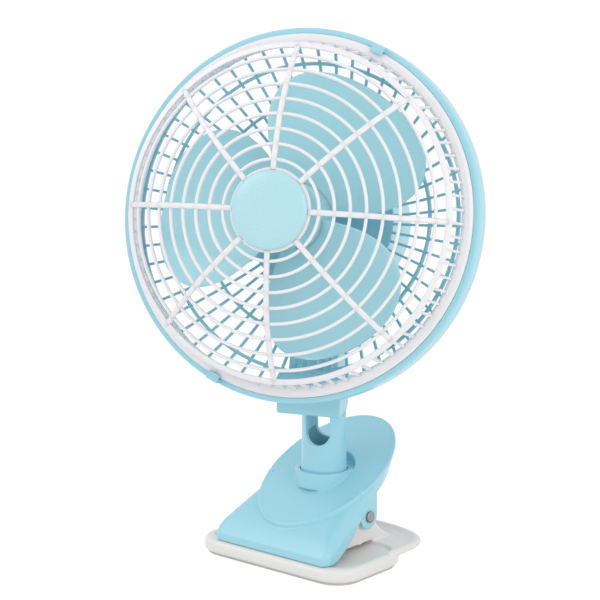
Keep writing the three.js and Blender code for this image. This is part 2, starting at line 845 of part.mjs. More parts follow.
// round wire along a list of points, its section carried along without twisting
function wire(points, radius, sides) {
  const rings = [];
  let normal = new THREE.Vector3(1, 0, 0);
  points.forEach((p, i) => {
    const ahead = points[Math.min(i + 1, points.length - 1)];
    const behind = points[Math.max(i - 1, 0)];
    const along = ahead.clone().sub(behind).normalize();
    normal = normal.clone().addScaledVector(along, -normal.dot(along)).normalize();
    const side = along.clone().cross(normal);
    rings.push(Array.from({ length: sides }, (_, k) => {
      const t = (2 * Math.PI * k) / sides;
      const around = normal.clone().multiplyScalar(radius * Math.cos(t));
      return around.addScaledVector(side, radius * Math.sin(t)).add(p);
    }));
  });
  return lofted(rings);
}

// least gap between two turns of the wire, on points more than half a turn apart
function leastSelfGap(points, radius, apart) {
  let least = Infinity;
  for (let i = 0; i < points.length; i += 1) {
    for (let j = i + apart; j < points.length; j += 1) {
      least = Math.min(least, points[i].distanceTo(points[j]) - 2 * radius);
    }
  }
  return least;
}

function jawSpring() {
  const path = springPath();
  const least = leastSelfGap(path, springWire, stepsPerTurn / 2 + 1);
  console.log(`jaw_spring: least gap to itself ${least.toFixed(2)} mm`);
  return wire(path, springWire, wireSides);
}

// ---------------------------------------------------------------- yoke and its fixings
const yokeSeat = collarTop - socketDepth;
const yokeFoot = yokeSeat + seatGap;

function yoke() {
  const tube = turned([
    [0, yokeFoot],
    [yokeFootRadius - yokeFootEdge, yokeFoot],
    [yokeFootRadius, yokeFoot + yokeFootEdge],
    [yokeRadius, yokeTaperTop],
    [yokeRadius, pivotHeight + yokeRadius],
    [0, pivotHeight + yokeRadius],
  ], round);
  const upright = upTurned(tube);
  const side = new THREE.Shape();
  side.moveTo(-yokeFootRadius - overrun, yokeFoot - overrun);
  side.lineTo(yokeFootRadius + overrun, yokeFoot - overrun);
  side.lineTo(yokeFootRadius + overrun, yokeTaperTop);
  side.lineTo(yokeRadius, yokeTaperTop + overrun);
  side.lineTo(yokeRadius, pivotHeight);
  side.absarc(0, pivotHeight, yokeRadius, 0, Math.PI, false);
  side.lineTo(-yokeRadius, yokeTaperTop + overrun);
  side.lineTo(-yokeFootRadius - overrun, yokeTaperTop);
  const far = yokeFootRadius + overrun;
  const arms = upright.intersect(drawnAcross(side, -far, far, archSteps));
  const slot = new THREE.Shape();
  slot.moveTo(-slotHalfWidth, pivotHeight + yokeRadius + overrun);
  slot.lineTo(-slotHalfWidth, slotFloor + slotHalfWidth);
  slot.absarc(0, slotFloor + slotHalfWidth, slotHalfWidth, Math.PI, 2 * Math.PI, false);
  slot.lineTo(slotHalfWidth, pivotHeight + yokeRadius + overrun);
  return cut(
    arms,
    rodZ(yokeBore, yokeFoot + yokeWall, slotFloor + slotHalfWidth, 0, 0, round),
    drawnBack(slot, -far, far, slotSteps),
    rodZ(swivelScrewRadius + seatGap, yokeFoot - overrun, yokeFoot + yokeWall + overrun, 0, 0, coarse),
    rodX(tiltBoltRadius + seatGap, -far, far, 0, pivotHeight),
    rodX(spotFaceRadius, spotFaceX, far, 0, pivotHeight, fine),
    rodX(spotFaceRadius, -far, -spotFaceX, 0, pivotHeight, fine),
  );
}

// a body turned about Y, stood up so that its axis is Z
function upTurned(solid) {
  return solid.rotate([90, 0, 0]);
}

const washerBottom = yokeFoot + yokeWall + seatGap;
const washerTop = washerBottom + washerThickness;

function swivelWasher() {
  const ring = rodZ(washerRadius, washerBottom, washerTop);
  const hole = rodZ(swivelScrewRadius + seatGap, washerBottom - overrun, washerTop + overrun, 0, 0, coarse);
  return cut(ring, hole);
}

function swivelScrew() {
  const headBottom = washerTop + seatGap;
  const tip = yokeSeat - bossDepth - nutThickness - swivelScrewTail;
  const shank = rodZ(swivelScrewRadius, tip, headBottom + sink, 0, 0, coarse);
  const head = rodZ(swivelHeadRadius, headBottom, headBottom + swivelHeadHeight);
  const top = headBottom + swivelHeadHeight;
  const far = swivelHeadRadius + overrun;
  const slotCut = block(-far, far, -driverSlot / 2, driverSlot / 2, top - driverSlot, top + overrun);
  return cut(joined(shank, head), slotCut);
}

function hexPrism(acrossFlats) {
  const shape = new THREE.Shape();
  const corner = acrossFlats / Math.sqrt(3);
  for (let i = 0; i < 6; i += 1) {
    const [x, y] = onFace(corner, 60 * i);
    if (i === 0) shape.moveTo(x, y);
    else shape.lineTo(x, y);
  }
  return shape;
}

function swivelNut() {
  const top = yokeSeat - bossDepth - seatGap;
  const hex = raised(hexPrism(nutAcrossFlats), top - nutThickness, top);
  const bottom = top - nutThickness;
  return cut(hex, rodZ(swivelScrewRadius + seatGap, bottom - overrun, top + overrun, 0, 0, coarse));
}

function tiltBolt() {
  const face = spotFaceX + seatGap;
  const shank = rodX(tiltBoltRadius, -face - nutThickness - tiltBoltTail, face + sink, 0, 0);
  const head = rodX(tiltHeadRadius, face, face + tiltHeadThickness, 0, 0);
  const tip = face + tiltHeadThickness;
  const far = tiltHeadRadius + overrun;
  const slotCut = block(tip - driverSlot, tip + overrun, -driverSlot / 2, driverSlot / 2, -far, far);
  return cut(joined(shank, head), slotCut);
}

function tiltNut() {
  const face = -spotFaceX - seatGap;
  const hex = drawnAcross(hexPrism(nutAcrossFlats), face - nutThickness, face);
  return cut(hex, rodX(tiltBoltRadius + seatGap, face - nutThickness - overrun, face + overrun, 0, 0));
}

// ---------------------------------------------------------------- front guard
function domeDepth(r) {
  const edge = (outerRingInner + outerRingOuter) / 2;
  return guardDrop * (r / edge) ** guardPower - guardCrown;
}

// spokes, crossed by the inner rings
function guardDome() {
  const stations = [hubRadius - ringWidth, hubRadius + ringWidth / 2];
  for (let k = 0; k < guardRings; k += 1) {
    const middle = firstRing + ringPitch * k;
    stations.push(middle - ringWidth / 2, middle + ringWidth / 2);
  }
  stations.push(outerRingInner + overrun);
  const perSpoke = cellsBetweenSpokes + 1;
  const angleAt = (i, r) => {
    const spoke = Math.floor(i / perSpoke);
    const half = Math.asin(spokeWidth / 2 / r);
    const pitch = (2 * Math.PI) / guardSpokes;
    const step = i % perSpoke;
    const start = spoke * pitch + half;
    const gap = pitch - 2 * half;
    return step === 0 ? spoke * pitch - half : start + (gap * (step - 1)) / cellsBetweenSpokes;
  };
  const isSpoke = (i) => i % perSpoke === 0;
  return pierced(
    guardSpokes * perSpoke,
    angleAt,
    stations.map((r) => [[r, domeDepth(r)], [r, domeDepth(r) + guardThickness]]),
    (i, j) => j % 2 === 0 || isSpoke(i),
  );
}

// outermost ring, the ribs of the side wall and the flange that sits in the rim
function guardSide() {
  const front = -outerRingDepth;
  const [ahead, behind] = outerRingFace;
  const [inwards, backwards] = outerRingBack;
  const stations = [
    [[outerRingInner, front - ahead], [outerRingInner, front + behind]],
    [[outerRingOuter, front], [outerRingOuter - inwards, front + backwards]],
    [[flangeInner, -flangeProud], [flangeInner - flangeLip, flangeBack]],
    [[flangeOuter, flangeLip - flangeProud], [flangeOuter, flangeBack]],
  ];
  const pitch = (2 * Math.PI) / sideRibs;
  const half = sideRibWidth / 2 / outerRingOuter;
  const angleAt = (i) => Math.floor(i / 2) * pitch + (i % 2 === 0 ? -half : half);
  return pierced(sideRibs * 2, angleAt, stations, (i, j) => j !== 1 || i % 2 === 0);
}

const hubFace = domeDepth(hubRadius);

function frontGuard() {
  const [front, back] = discSetback;
  const edge = hubRadius - ringWidth / 2;
  const disc = rodY(edge, hubFace + front, hubFace + guardThickness - back, 0, 0, broad);
  return joined(guardDome(), guardSide(), disc);
}

// round boss over the hub, its face slightly domed
function guardCap() {
  const back = hubFace + discSetback[0] - seatGap;
  const outline = [[0, back], [capRadius, back], [capRadius, back - capSide]];
  const steps = cornerSteps;
  for (let i = 1; i <= steps; i += 1) {
    const t = (Math.PI / 2) * (i / steps);
    outline.push([capRadius * Math.cos(t), back - capSide - capRise * Math.sin(t)]);
  }
  outline[outline.length - 1][0] = 0;
  return turned(outline, broad);
}

// ---------------------------------------------------------------- rim and rear guard
function bowlDepth(r) {
  const share = Math.max(0, (r - bowlRadius) / (rimWebInner - bowlRadius));
  return plateFaceDepth - (plateFaceDepth - rimDepth) * share ** bowlPower;
}

// the guard in one piece: middle plate, ribs crossed by two rings, and the boxed rim
function rearCage() {
  const half = rearRingWidth / 2;
  const span = rimWebInner - bowlRadius;
  const [lowRing, highRing] = rearRingShares.map((share) => bowlRadius + span * share);
  const [lipOutside, lipInside] = rimLip;
  const seat = flangeBack + seatGap;
  const wall = (r) => [[r, bowlDepth(r)], [r, bowlDepth(r) - rearThickness]];
  const stations = [
    wall(middleHole),
    wall(bowlRadius),
    wall(lowRing - half),
    wall(lowRing + half),
    wall(highRing - half),
    wall(highRing + half),
    [[rimWebInner, rimDepth], [rimWebInner, rimDepth - rearThickness]],
    [[rimOuter - rimEdge, rimDepth], [rimSeatInner, rimDepth - rearThickness]],
    [[rimOuter, rimDepth - rimEdge], [rimSeatInner, seat]],
    [[rimOuter, rimEdge], [rimInner, seat]],
    [[rimOuter - lipOutside, 0], [rimInner + lipInside, 0]],
  ];
  const ribRows = new Set([1, 3, 5]);
  const pitch = (2 * Math.PI) / rearRibs;
  const halfAngle = (r) => Math.asin(rearRibWidth / 2 / Math.max(r, bowlRadius));
  const angleAt = (i, r) => Math.floor(i / 2) * pitch + (i % 2 === 0 ? -1 : 1) * halfAngle(r);
  return pierced(rearRibs * 2, angleAt, stations, (i, j) => !ribRows.has(j) || i % 2 === 0);
}

function rimTab(degrees) {
  const hookFront = -flangeProud - seatGap - tabThickness - tabPlay;
  const outer = rimOuter - sink;
  const half = tabWidth / 2;
  const post = block(rimInner + seatGap, outer, hookFront, overrun, -half, half);
  const hook = block(tabReach, outer, hookFront, hookFront + tabThickness, -half, half);
  return joined(post, hook).rotate([0, -degrees, 0]);
}

function rearGuard() {
  const front = plateFaceDepth - rearThickness - overrun;
  const holes = guardScrewPlaces().map(([x, z]) => (
    rodY(screwRadius + seatGap, front, plateFaceDepth + overrun, x, z, coarse)
  ));
  return cut(joined(rearCage(), ...tabAngles.map(rimTab)), ...holes);
}

function guardScrewPlaces() {
  return guardScrewAngles.map((degrees) => onFace(guardScrewCircle, degrees));
}

// pan-head screw pointing back, its head's underside at depth y
function panScrew(x, z, y) {
  const face = y - screwHeadHeight;
  const far = screwHeadRadius + overrun;
  const half = screwSlotWidth / 2;
  const shank = rodY(screwRadius, y - sink, y + screwLength, x, z, coarse);
  const head = rodY(screwHeadRadius, face, y, x, z, coarse);
  const slotCut = block(x - far, x + far, face - overrun, face + screwSlotWidth, z - half, z + half);
  return cut(joined(shank, head), slotCut);
}

// ---------------------------------------------------------------- motor housing
function ventArc(inner, outer, width, y0, y1, degrees) {
  const slotShape = new THREE.Shape();
  slotShape.moveTo(inner, -width / 2);
  slotShape.lineTo(outer, -width / 2);
  slotShape.absarc(outer, 0, width / 2, -Math.PI / 2, Math.PI / 2, false);
  slotShape.lineTo(inner, width / 2);
  slotShape.absarc(inner, 0, width / 2, Math.PI / 2, Math.PI * 1.5, false);
  return drawnBack(slotShape, y0, y1, ventSteps).rotate([0, -degrees, 0]);
}

function vents(y0, y1) {
  return Array.from({ length: ventCount }, (_, i) => (
    ventArc(ventInner, ventOuter, ventWidth, y0, y1, (360 / ventCount) * (i + 0.5))
  ));
}

function neckAndChin() {
  const top = neckTop - housingRadius;
  const neck = block(-neckHalfWidth, neckHalfWidth, neckFront, housingSplit, chinTop - overrun, top);
  const grooveAt = (i) => groovePitch * (i - (grooveCount - 1) / 2);
  const grooves = Array.from({ length: grooveCount }, (_, i) => (
    rodZ(grooveRadius, chinTop, top + overrun, grooveAt(i), neckFront, grooveSides)
  ));
  const side = new THREE.Shape();
  const front = housingFront;
  const start = front + chinRound;
  const lipBottom = chinBottom - chinLip;
  const [lipRise, lipEnd] = chinLipEnds;
  side.moveTo(front, chinTop - chinRound);
  side.lineTo(front, lipBottom + chinRound);
  side.absarc(start, lipBottom + chinRound, chinRound, Math.PI, Math.PI * 1.5, false);
  side.lineTo(front + lipRise, lipBottom);
  side.lineTo(front + lipEnd, chinBottom);
  side.lineTo(pivotBack, chinBottom);
  side.lineTo(pivotBack, chinTop - chinChamfer);
  side.lineTo(housingSplit, chinTop);
  side.lineTo(start, chinTop);
  side.absarc(start, chinTop - chinRound, chinRound, Math.PI / 2, Math.PI, false);
  const chin = drawnAcross(side, -chinHalfWidth, chinHalfWidth, coverSteps);
  const far = chinHalfWidth + overrun;
  const relief = rodX(reliefRadius, -far, far, pivotBack, -axisRise, round);
  return cut(joined(cut(neck, ...grooves), chin), relief);
}

// knuckle that fits between the yoke's arms
function knuckle() {
  const half = slotHalfWidth - seatGap;
  const web = new THREE.Shape();
  const onKnuckle = ([y, z]) => [pivotBack + knuckleRadius * y, knuckleRadius * z - axisRise];
  web.moveTo(housingFront + webSetback, chinTop + webInset);
  web.lineTo(housingFront + webSetback, chinBottom + webInset);
  web.lineTo(...onKnuckle(webFoot));
  web.lineTo(...onKnuckle(webHead));
  web.lineTo(housingSplit, chinTop + webInset);
  const eye = rodX(knuckleRadius, -half, half, pivotBack, -axisRise, fine);
  return joined(drawnAcross(web, -half, half), eye);
}

function motorHousing() {
  const inner = housingRadius - housingWall;
  const floor = housingFront + housingWall;
  const screwHole = screwRadius + seatGap;
  const shell = turned([
    [0, housingFront],
    [housingRadius - housingEdge, housingFront],
    [housingRadius, housingFront + housingEdge],
    [housingRadius, housingSplit],
    [inner, housingSplit],
    [inner, floor + housingFillet],
    [inner - housingFillet, floor],
    [0, floor],
  ], broad);
  const boss = rodY(bearingBossRadius, housingFront + sink, housingFront + bearingLength);
  const posts = [1, -1].map((side) => (
    rodY(postRadius, housingFront + sink, housingSplit, side * postCircle, 0, coarse)
  ));
  const inside = rodY(inner, floor, housingSplit + overrun, 0, 0, broad);
  const neck = cut(joined(neckAndChin(), knuckle()), inside);
  const drillings = guardScrewPlaces().map(([x, z]) => (
    rodY(screwHole, housingFront - overrun, housingFront + drillDepth, x, z, coarse)
  ));
  const postFloor = housingSplit - screwLength - overrun;
  const postHoles = [1, -1].map((side) => (
    rodY(screwHole, postFloor, housingSplit + overrun, side * postCircle, 0, coarse)
  ));
  return cut(
    joined(shell, boss, ...posts, neck),
    rodY(bearingRadius + seatGap, housingFront - overrun, housingFront + bearingLength + overrun),
    rodX(tiltBoltRadius + seatGap, -slotHalfWidth - overrun, slotHalfWidth + overrun, pivotBack, -axisRise),
    ...vents(housingFront - overrun, floor + overrun),
    ...drillings,
    ...postHoles,
  );
}

const coverFront = housingSplit + seatGap;
const sliderRun = sliderLength + sliderTravel + 2 * seatGap;

function motorCover() {
  const steps = coverSteps;
  const rounded = Array.from({ length: steps + 1 }, (_, i) => {
    const t = (Math.PI / 2) * (i / steps);
    return [
      housingRadius - coverRound + coverRound * Math.cos(t),
      coverRear - coverRound + coverRound * Math.sin(t),
    ];
  });
  const shell = turned([
    [housingRadius - housingWall, coverFront],
    [housingRadius, coverFront],
    ...rounded,
    [0, coverRear],
    [0, coverInner],
    [housingRadius - coverRound, coverInner],
    [housingRadius - housingWall, coverRear - coverRound],
  ], broad);
  const boss = rodY(bearingBossRadius, coverInner - bearingLength, coverInner + sink);
  const posts = [1, -1].map((side) => (
    rodY(postRadius, coverFront, coverInner + sink, side * postCircle, 0, coarse)
  ));
  const back = coverRear + overrun;
  const screwHoles = [1, -1].flatMap((side) => [
    rodY(screwRadius + seatGap, coverFront - overrun, back, side * postCircle, 0, coarse),
    rodY(screwHeadRadius + seatGap, coverFront + screwSeat, back, side * postCircle, 0, coarse),
  ]);
  const run = block(
    -sliderRun / 2,
    sliderRun / 2,
    coverInner - overrun,
    back,
    sliderHeight - sliderWidth / 2 - seatGap,
    sliderHeight + sliderWidth / 2 + seatGap,
  );
  const glandTop = glandFlangeRadius - housingRadius;
  const gland = rodZ(glandRadius + seatGap, -housingRadius - overrun, glandTop, 0, glandY);
  const lowVents = coverVentAngles.map((degrees) => (
    ventArc(ventInner, ventOuter, ventWidth, coverInner - overrun, back, degrees)
  ));
  return cut(joined(shell, boss, ...posts), ...screwHoles, bearingPocket(), run, gland, ...lowVents);
}

function bearingPocket() {
  return rodY(bearingRadius + seatGap, coverInner - bearingLength - overrun, coverInner - seatGap);
}

function bearing(from) {
  const to = from + bearingLength - bearingSetback;
  const ring = rodY(bearingRadius, from, to);
  return cut(ring, rodY(shaftRadius + seatGap, from - overrun, to + overrun, 0, 0, coarse));
}

function coverScrew(side) {
  const seat = coverFront + screwSeat;
  const x = side * postCircle;
  const shank = rodY(screwRadius, housingSplit - screwLength, seat + seatGap + sink, x, 0, coarse);
  const head = rodY(screwHeadRadius, seat + seatGap, seat + seatGap + screwHeadHeight, x, 0, coarse);
  return joined(shank, head);
}

// ---------------------------------------------------------------- motor
function stator() {
  const rear = statorFront + statorLength;
  const core = rodY(statorRadius, statorFront, rear, 0, 0, round);
  return cut(core, rodY(statorBore, statorFront - overrun, rear + overrun, 0, 0, round));
}

function endWinding(from) {
  return turned([
    [windingInner, from],
    [windingOuter - windingEdge, from],
    [windingOuter, from + windingLength / 2],
    [windingOuter - windingEdge, from + windingLength],
    [windingInner, from + windingLength],
  ], medium);
}

function rotorCore() {
  const rear = statorFront + statorLength;
  const core = rodY(rotorRadius, statorFront, rear, 0, 0, medium);
  return cut(core, rodY(shaftRadius + seatGap, statorFront - overrun, rear + overrun, 0, 0, coarse));
}

// ---------------------------------------------------------------- blade wheel
// one petal: a broad twisted sheet that rounds off to the tip, its pitch easing on the way there
function petal(turn) {
  const rows = bladeRows;
  const columns = bladeColumns;
  const root = wheelHubRadius - wheelHubWall;
  const grid = [];
  for (let i = 0; i < rows; i += 1) {
    const r = root + (bladeTip - root) * Math.sin((Math.PI / 2) * (i / (rows - 1)));
    const narrowing = Math.max(0, 1 - (r / bladeTip) ** 2) ** lobePower;
    const span = radians(Math.max(lobeTipHalf, lobeSpan * narrowing));
    const pitch = Math.tan(radians(bladePitch)) * (lobeCentre / r) ** pitchEase;
    for (let k = 0; k < columns; k += 1) {
      const across = (2 * k) / (columns - 1) - 1;
      const angle = span * across;
      const lift = pitch * r * Math.sin(angle) + bladeCamber * (1 - across * across);
      grid.push([r, angle, lift]);
    }
  }
  const point = ([r, angle, depth], offset) => {
    const t = angle + turn;
    return [r * Math.cos(t), depth + offset, r * Math.sin(t)];
  };
  const positions = [
    ...grid.flatMap((p) => point(p, -bladeThickness / 2)),
    ...grid.flatMap((p) => point(p, bladeThickness / 2)),
  ];
  return body(sheetGeometry(positions, rows, columns));
}

// two matching grids of points, skinned and walled round their edge
function sheetGeometry(positions, rows, columns) {
  const back = rows * columns;
  const index = [];
  const quad = (a, b, c, d) => index.push(a, b, c, a, c, d);
  for (let i = 0; i + 1 < rows; i += 1) {
    for (let k = 0; k + 1 < columns; k += 1) {
      const a = i * columns + k;
      quad(a, a + columns, a + columns + 1, a + 1);
      quad(back + a + 1, back + a + columns + 1, back + a + columns, back + a);
    }
    const left = i * columns;
    const right = left + columns - 1;
    quad(left, back + left, back + left + columns, left + columns);
    quad(right + columns, back + right + columns, back + right, right);
  }
  for (let k = 0; k + 1 < columns; k += 1) {
    const high = (rows - 1) * columns + k;
    quad(k + 1, back + k + 1, back + k, k);
    quad(high, back + high, back + high + 1, high + 1);
  }
  const g = new THREE.BufferGeometry();
  g.setAttribute('position', new THREE.Float32BufferAttribute(positions, 3));
  g.setIndex(index);
  return g;
}

function fanBlade() {
  const hub = turned([
    [0, wheelHubFront],
    [wheelHubRadius - wheelHubEdge, wheelHubFront],
    [wheelHubRadius, wheelHubFront + wheelHubEdge],
    [wheelHubRadius, wheelHubRear],
    [wheelHubRadius - wheelHubWall, wheelHubRear],
    [wheelHubRadius - wheelHubWall, wheelHubFront + wheelHubEdge],
    [wheelSleeveRadius, wheelHubFront + wheelHubWall],
    [wheelSleeveRadius, wheelSleeveRear],
    [0, wheelSleeveRear],
  ], round);
  const petals = Array.from({ length: bladeCount }, (_, i) => (
    petal(radians(bladeRestAngle) + (2 * Math.PI * i) / bladeCount)
  ));
  const hollow = turned([
    [0, wheelHubFront + wheelHubWall],
    [wheelHubRadius - wheelHubWall, wheelHubFront + wheelHubEdge],
    [wheelHubRadius - wheelHubWall, wheelSleeveRear],
    [0, wheelSleeveRear],
  ], round);
  const bladesOnly = cut(joined(...petals), hollow);
  const front = wheelHubFront - overrun;
  const bore = rodY(shaftRadius + seatGap, front, wheelSleeveRear + overrun, 0, 0, coarse);
  return cut(joined(hub, bladesOnly), bore);
}

// domed left-hand nut that holds the wheel on its shaft
function lockNut() {
  const back = wheelHubFront - seatGap;
  const front = back - lockNutLength;
  const [crownShare, crownDepth] = lockNutCrown;
  const dome = turned([
    [0, back],
    [lockNutRadius, back],
    [lockNutRadius, front + lockNutShoulder],
    [lockNutRadius * crownShare, front + crownDepth],
    [0, front],
  ], medium);
  return cut(dome, rodY(shaftRadius + seatGap, shaftFront - seatGap, back + overrun, 0, 0, coarse));
}

// ---------------------------------------------------------------- switch and cord inlet
function speedSlider() {
  const z0 = sliderHeight - sliderWidth / 2;
  const z1 = sliderHeight + sliderWidth / 2;
  const x0 = -sliderTravel / 2 - sliderLength / 2;
  const back = coverInner - seatGap;
  const front = back - sliderFlangeThickness;
  const outer = coverRear + sliderProud;
  const button = block(x0, x0 + sliderLength, front, outer, z0, z1);
  const flange = block(
    x0 - sliderFlange,
    x0 + sliderLength + sliderFlange,
    front,
    back,
    z0 - sliderFlange,
    z1 + sliderFlange,
  );
  const middle = x0 + sliderLength / 2;
  const [grooveWidth, grooveDepth] = gripGroove;
  const floor = outer - grooveDepth;
  const grips = [-gripPitch, 0, gripPitch].map((x) => middle + x - grooveWidth / 2).map((x) => (
    block(x, x + grooveWidth, floor, outer + overrun, z0 - overrun, z1 + overrun)
  ));
  return cut(joined(button, flange), ...grips);
}

function cordGland() {
  const wallTop = -Math.sqrt((housingRadius - housingWall) ** 2 - glandFlangeRadius ** 2);
  const bottom = -housingRadius - glandProud;
  const seat = wallTop + seatGap;
  const top = seat + glandFlangeThickness;
  const bush = rodZ(glandRadius, bottom, top, 0, glandY);
  const inner = rodZ(glandFlangeRadius, seat, top, 0, glandY);
  const bore = rodZ(glandBore, bottom - overrun, top + overrun, 0, glandY, coarse);
  return cut(joined(bush, inner), bore);
}

// ---------------------------------------------------------------- assembly
const fan = new THREE.Group();

const clamp = new THREE.Group();
clamp.add(piece('base_pad', basePad(), rubber()));
clamp.add(piece('lower_jaw', lowerJaw(), offWhite()));
clamp.add(piece('lower_grip_pad', lowerGripPad(), rubber()));
clamp.add(piece('hinge_pin', hingePin(), steel()));
clamp.add(piece('hinge_clip', hingeClip(), steel()));
clamp.add(piece('jaw_spring', jawSpring(), steel()));
clamp.add(piece('upper_jaw', upperJaw(), aqua()));
clamp.add(piece('upper_grip_pad', upperGripPad(), rubber()));
clamp.add(piece('swivel_nut', swivelNut(), steel()));
fan.add(clamp);

const turret = new THREE.Group();
turret.rotation.z = radians(swivelRest);
turret.add(piece('yoke', yoke(), aqua()));
turret.add(piece('swivel_washer', swivelWasher(), steel()));
turret.add(piece('swivel_screw', swivelScrew(), steel()));
fan.add(turret);

const boltGroup = new THREE.Group();
boltGroup.position.z = pivotHeight;
boltGroup.add(piece('tilt_bolt', tiltBolt(), steel()));
boltGroup.add(piece('tilt_nut', tiltNut(), steel()));
turret.add(boltGroup);

const tilting = new THREE.Group();
tilting.position.z = pivotHeight;
tilting.rotation.x = radians(-tiltRest);
turret.add(tilting);

const head = new THREE.Group();
head.position.set(0, -pivotBack, axisRise);
tilting.add(head);

head.add(piece('motor_housing', motorHousing(), aqua()));
head.add(piece('motor_cover', motorCover(), aqua()));
head.add(piece('cover_screw_right', coverScrew(1), steel()));
head.add(piece('cover_screw_left', coverScrew(-1), steel()));
head.add(piece('stator_core', stator(), metal(0x6f7274, 0.5)));
head.add(piece('winding_front', endWinding(statorFront - windingLength - seatGap), metal(0xb87333, 0.4)));
head.add(piece('winding_rear', endWinding(statorFront + statorLength + seatGap), metal(0xb87333, 0.4)));
head.add(piece('bearing_front', bearing(housingFront), metal(0xa9863a, 0.4)));
head.add(piece('bearing_rear', bearing(coverInner - bearingLength), metal(0xa9863a, 0.4)));
head.add(piece('rear_guard', rearGuard(), aqua()));
guardScrewPlaces().forEach(([x, z], i) => {
  const under = plateFaceDepth - rearThickness - seatGap;
  head.add(piece(`guard_screw_${i + 1}`, panScrew(x, z, under), steel()));
});
head.add(piece('front_guard', frontGuard(), white()));
head.add(piece('guard_cap', guardCap(), paleAqua()));
head.add(piece('speed_slider', speedSlider(), white()));
head.add(piece('cord_gland', cordGland(), white()));

const rotor = new THREE.Group();
rotor.add(piece('motor_shaft', rodY(shaftRadius, shaftFront, shaftRear, 0, 0, coarse), steel()));
rotor.add(piece('rotor_core', rotorCore(), metal(0x8b8d90, 0.45)));
rotor.add(piece('fan_blade', fanBlade(), aqua()));
rotor.add(piece('blade_lock_nut', lockNut(), paleAqua()));
head.add(rotor);

export default fan;
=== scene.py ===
# A clip fan about 290 mm tall: a white cage over an aqua blade wheel, on a jointed stem and a
# sprung clamp. Sizes are in millimetres and are turned to metres when a mesh is written.
import json
import math

import bmesh
import bpy
import numpy as np
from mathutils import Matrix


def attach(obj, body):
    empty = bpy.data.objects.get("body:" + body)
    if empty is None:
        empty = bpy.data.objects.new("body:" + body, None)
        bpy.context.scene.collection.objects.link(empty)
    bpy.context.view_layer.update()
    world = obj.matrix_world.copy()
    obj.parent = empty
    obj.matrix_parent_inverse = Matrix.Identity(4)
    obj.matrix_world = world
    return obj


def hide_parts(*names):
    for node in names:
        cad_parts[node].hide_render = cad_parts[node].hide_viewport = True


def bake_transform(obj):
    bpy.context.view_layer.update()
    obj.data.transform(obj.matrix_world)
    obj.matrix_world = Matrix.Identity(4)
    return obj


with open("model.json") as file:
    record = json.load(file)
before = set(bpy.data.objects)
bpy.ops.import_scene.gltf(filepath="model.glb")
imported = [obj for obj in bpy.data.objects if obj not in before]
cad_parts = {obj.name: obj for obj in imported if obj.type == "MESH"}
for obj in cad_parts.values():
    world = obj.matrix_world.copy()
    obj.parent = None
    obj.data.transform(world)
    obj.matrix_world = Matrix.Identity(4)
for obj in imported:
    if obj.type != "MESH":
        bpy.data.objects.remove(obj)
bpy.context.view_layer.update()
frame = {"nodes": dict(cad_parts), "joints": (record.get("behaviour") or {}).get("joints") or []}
nodes = frame["nodes"]

# -------------------------------------------------- camera, light and floor
# The photograph looks at the fan from its right, a little above: a long lens about 1.1 m from the
# clamp. A white studio sweep, one large soft lamp high on the left and a weaker one on the right.
camera_data = bpy.data.cameras.new("camera")
camera_data.sensor_width = 36
camera_data.lens = 123.418
camera = bpy.data.objects.new("camera", camera_data)
camera.location = (0.69673, -0.85089, 0.36099)
camera.rotation_euler = (math.radians(78.7), 0, math.radians(40))
bpy.context.scene.collection.objects.link(camera)
bpy.context.scene.camera = camera
bpy.context.scene.view_settings.view_transform = "Standard"


def linear(hex_colour):
    """sRGB hex value to linear red, green, blue and alpha 1."""
    parts = np.array([int(hex_colour[i:i + 2], 16) / 255 for i in (1, 3, 5)])
    low = parts / 12.92
    high = ((parts + 0.055) / 1.055) ** 2.4
    return (*np.where(parts <= 0.04045, low, high).tolist(), 1.0)


def add_node(tree, kind, settings=None, links=None, **named):
    """One shader node with its properties, its socket values, and the sockets that feed it."""
    node = tree.nodes.new(kind)
    for key, value in named.items():
        setattr(node, key, value)
    for key, value in (settings or {}).items():
        node.inputs[key].default_value = value
    for key, source in (links or {}).items():
        tree.links.new(source, node.inputs[key])
    return node


def blank_material(name):
    """An empty node material, its tree and its output node."""
    material = bpy.data.materials.new(name)
    material.use_nodes = True
    material.node_tree.nodes.clear()
    return material, material.node_tree, material.node_tree.nodes.new("ShaderNodeOutputMaterial")


def seen_rays(tree, kinds):
    """A node that gives 1 for rays of those kinds and 0 for all others, which only carry light."""
    path = add_node(tree, "ShaderNodeLightPath")
    seen = path.outputs[kinds[0]]
    for kind in kinds[1:]:
        either = add_node(tree, "ShaderNodeMath", links={0: seen, 1: path.outputs[kind]},
                          operation="MAXIMUM")
        seen = either.outputs[0]
    return either


white_light = linear("#FFFFFF")
world = bpy.data.worlds.new("white_studio")
bpy.context.scene.world = world
world.use_nodes = True
tree = world.node_tree
tree.nodes.clear()
seen = seen_rays(tree, ("Is Camera Ray", "Is Glossy Ray", "Is Transmission Ray"))
ambient = add_node(tree, "ShaderNodeBackground", {"Color": white_light, "Strength": 0.84})
backdrop = add_node(tree, "ShaderNodeBackground", {"Color": white_light, "Strength": 1.0})
mixed = add_node(tree, "ShaderNodeMixShader", links={0: seen.outputs[0], 1: ambient.outputs[0],
                                                     2: backdrop.outputs[0]})
add_node(tree, "ShaderNodeOutputWorld", links={"Surface": mixed.outputs[0]})

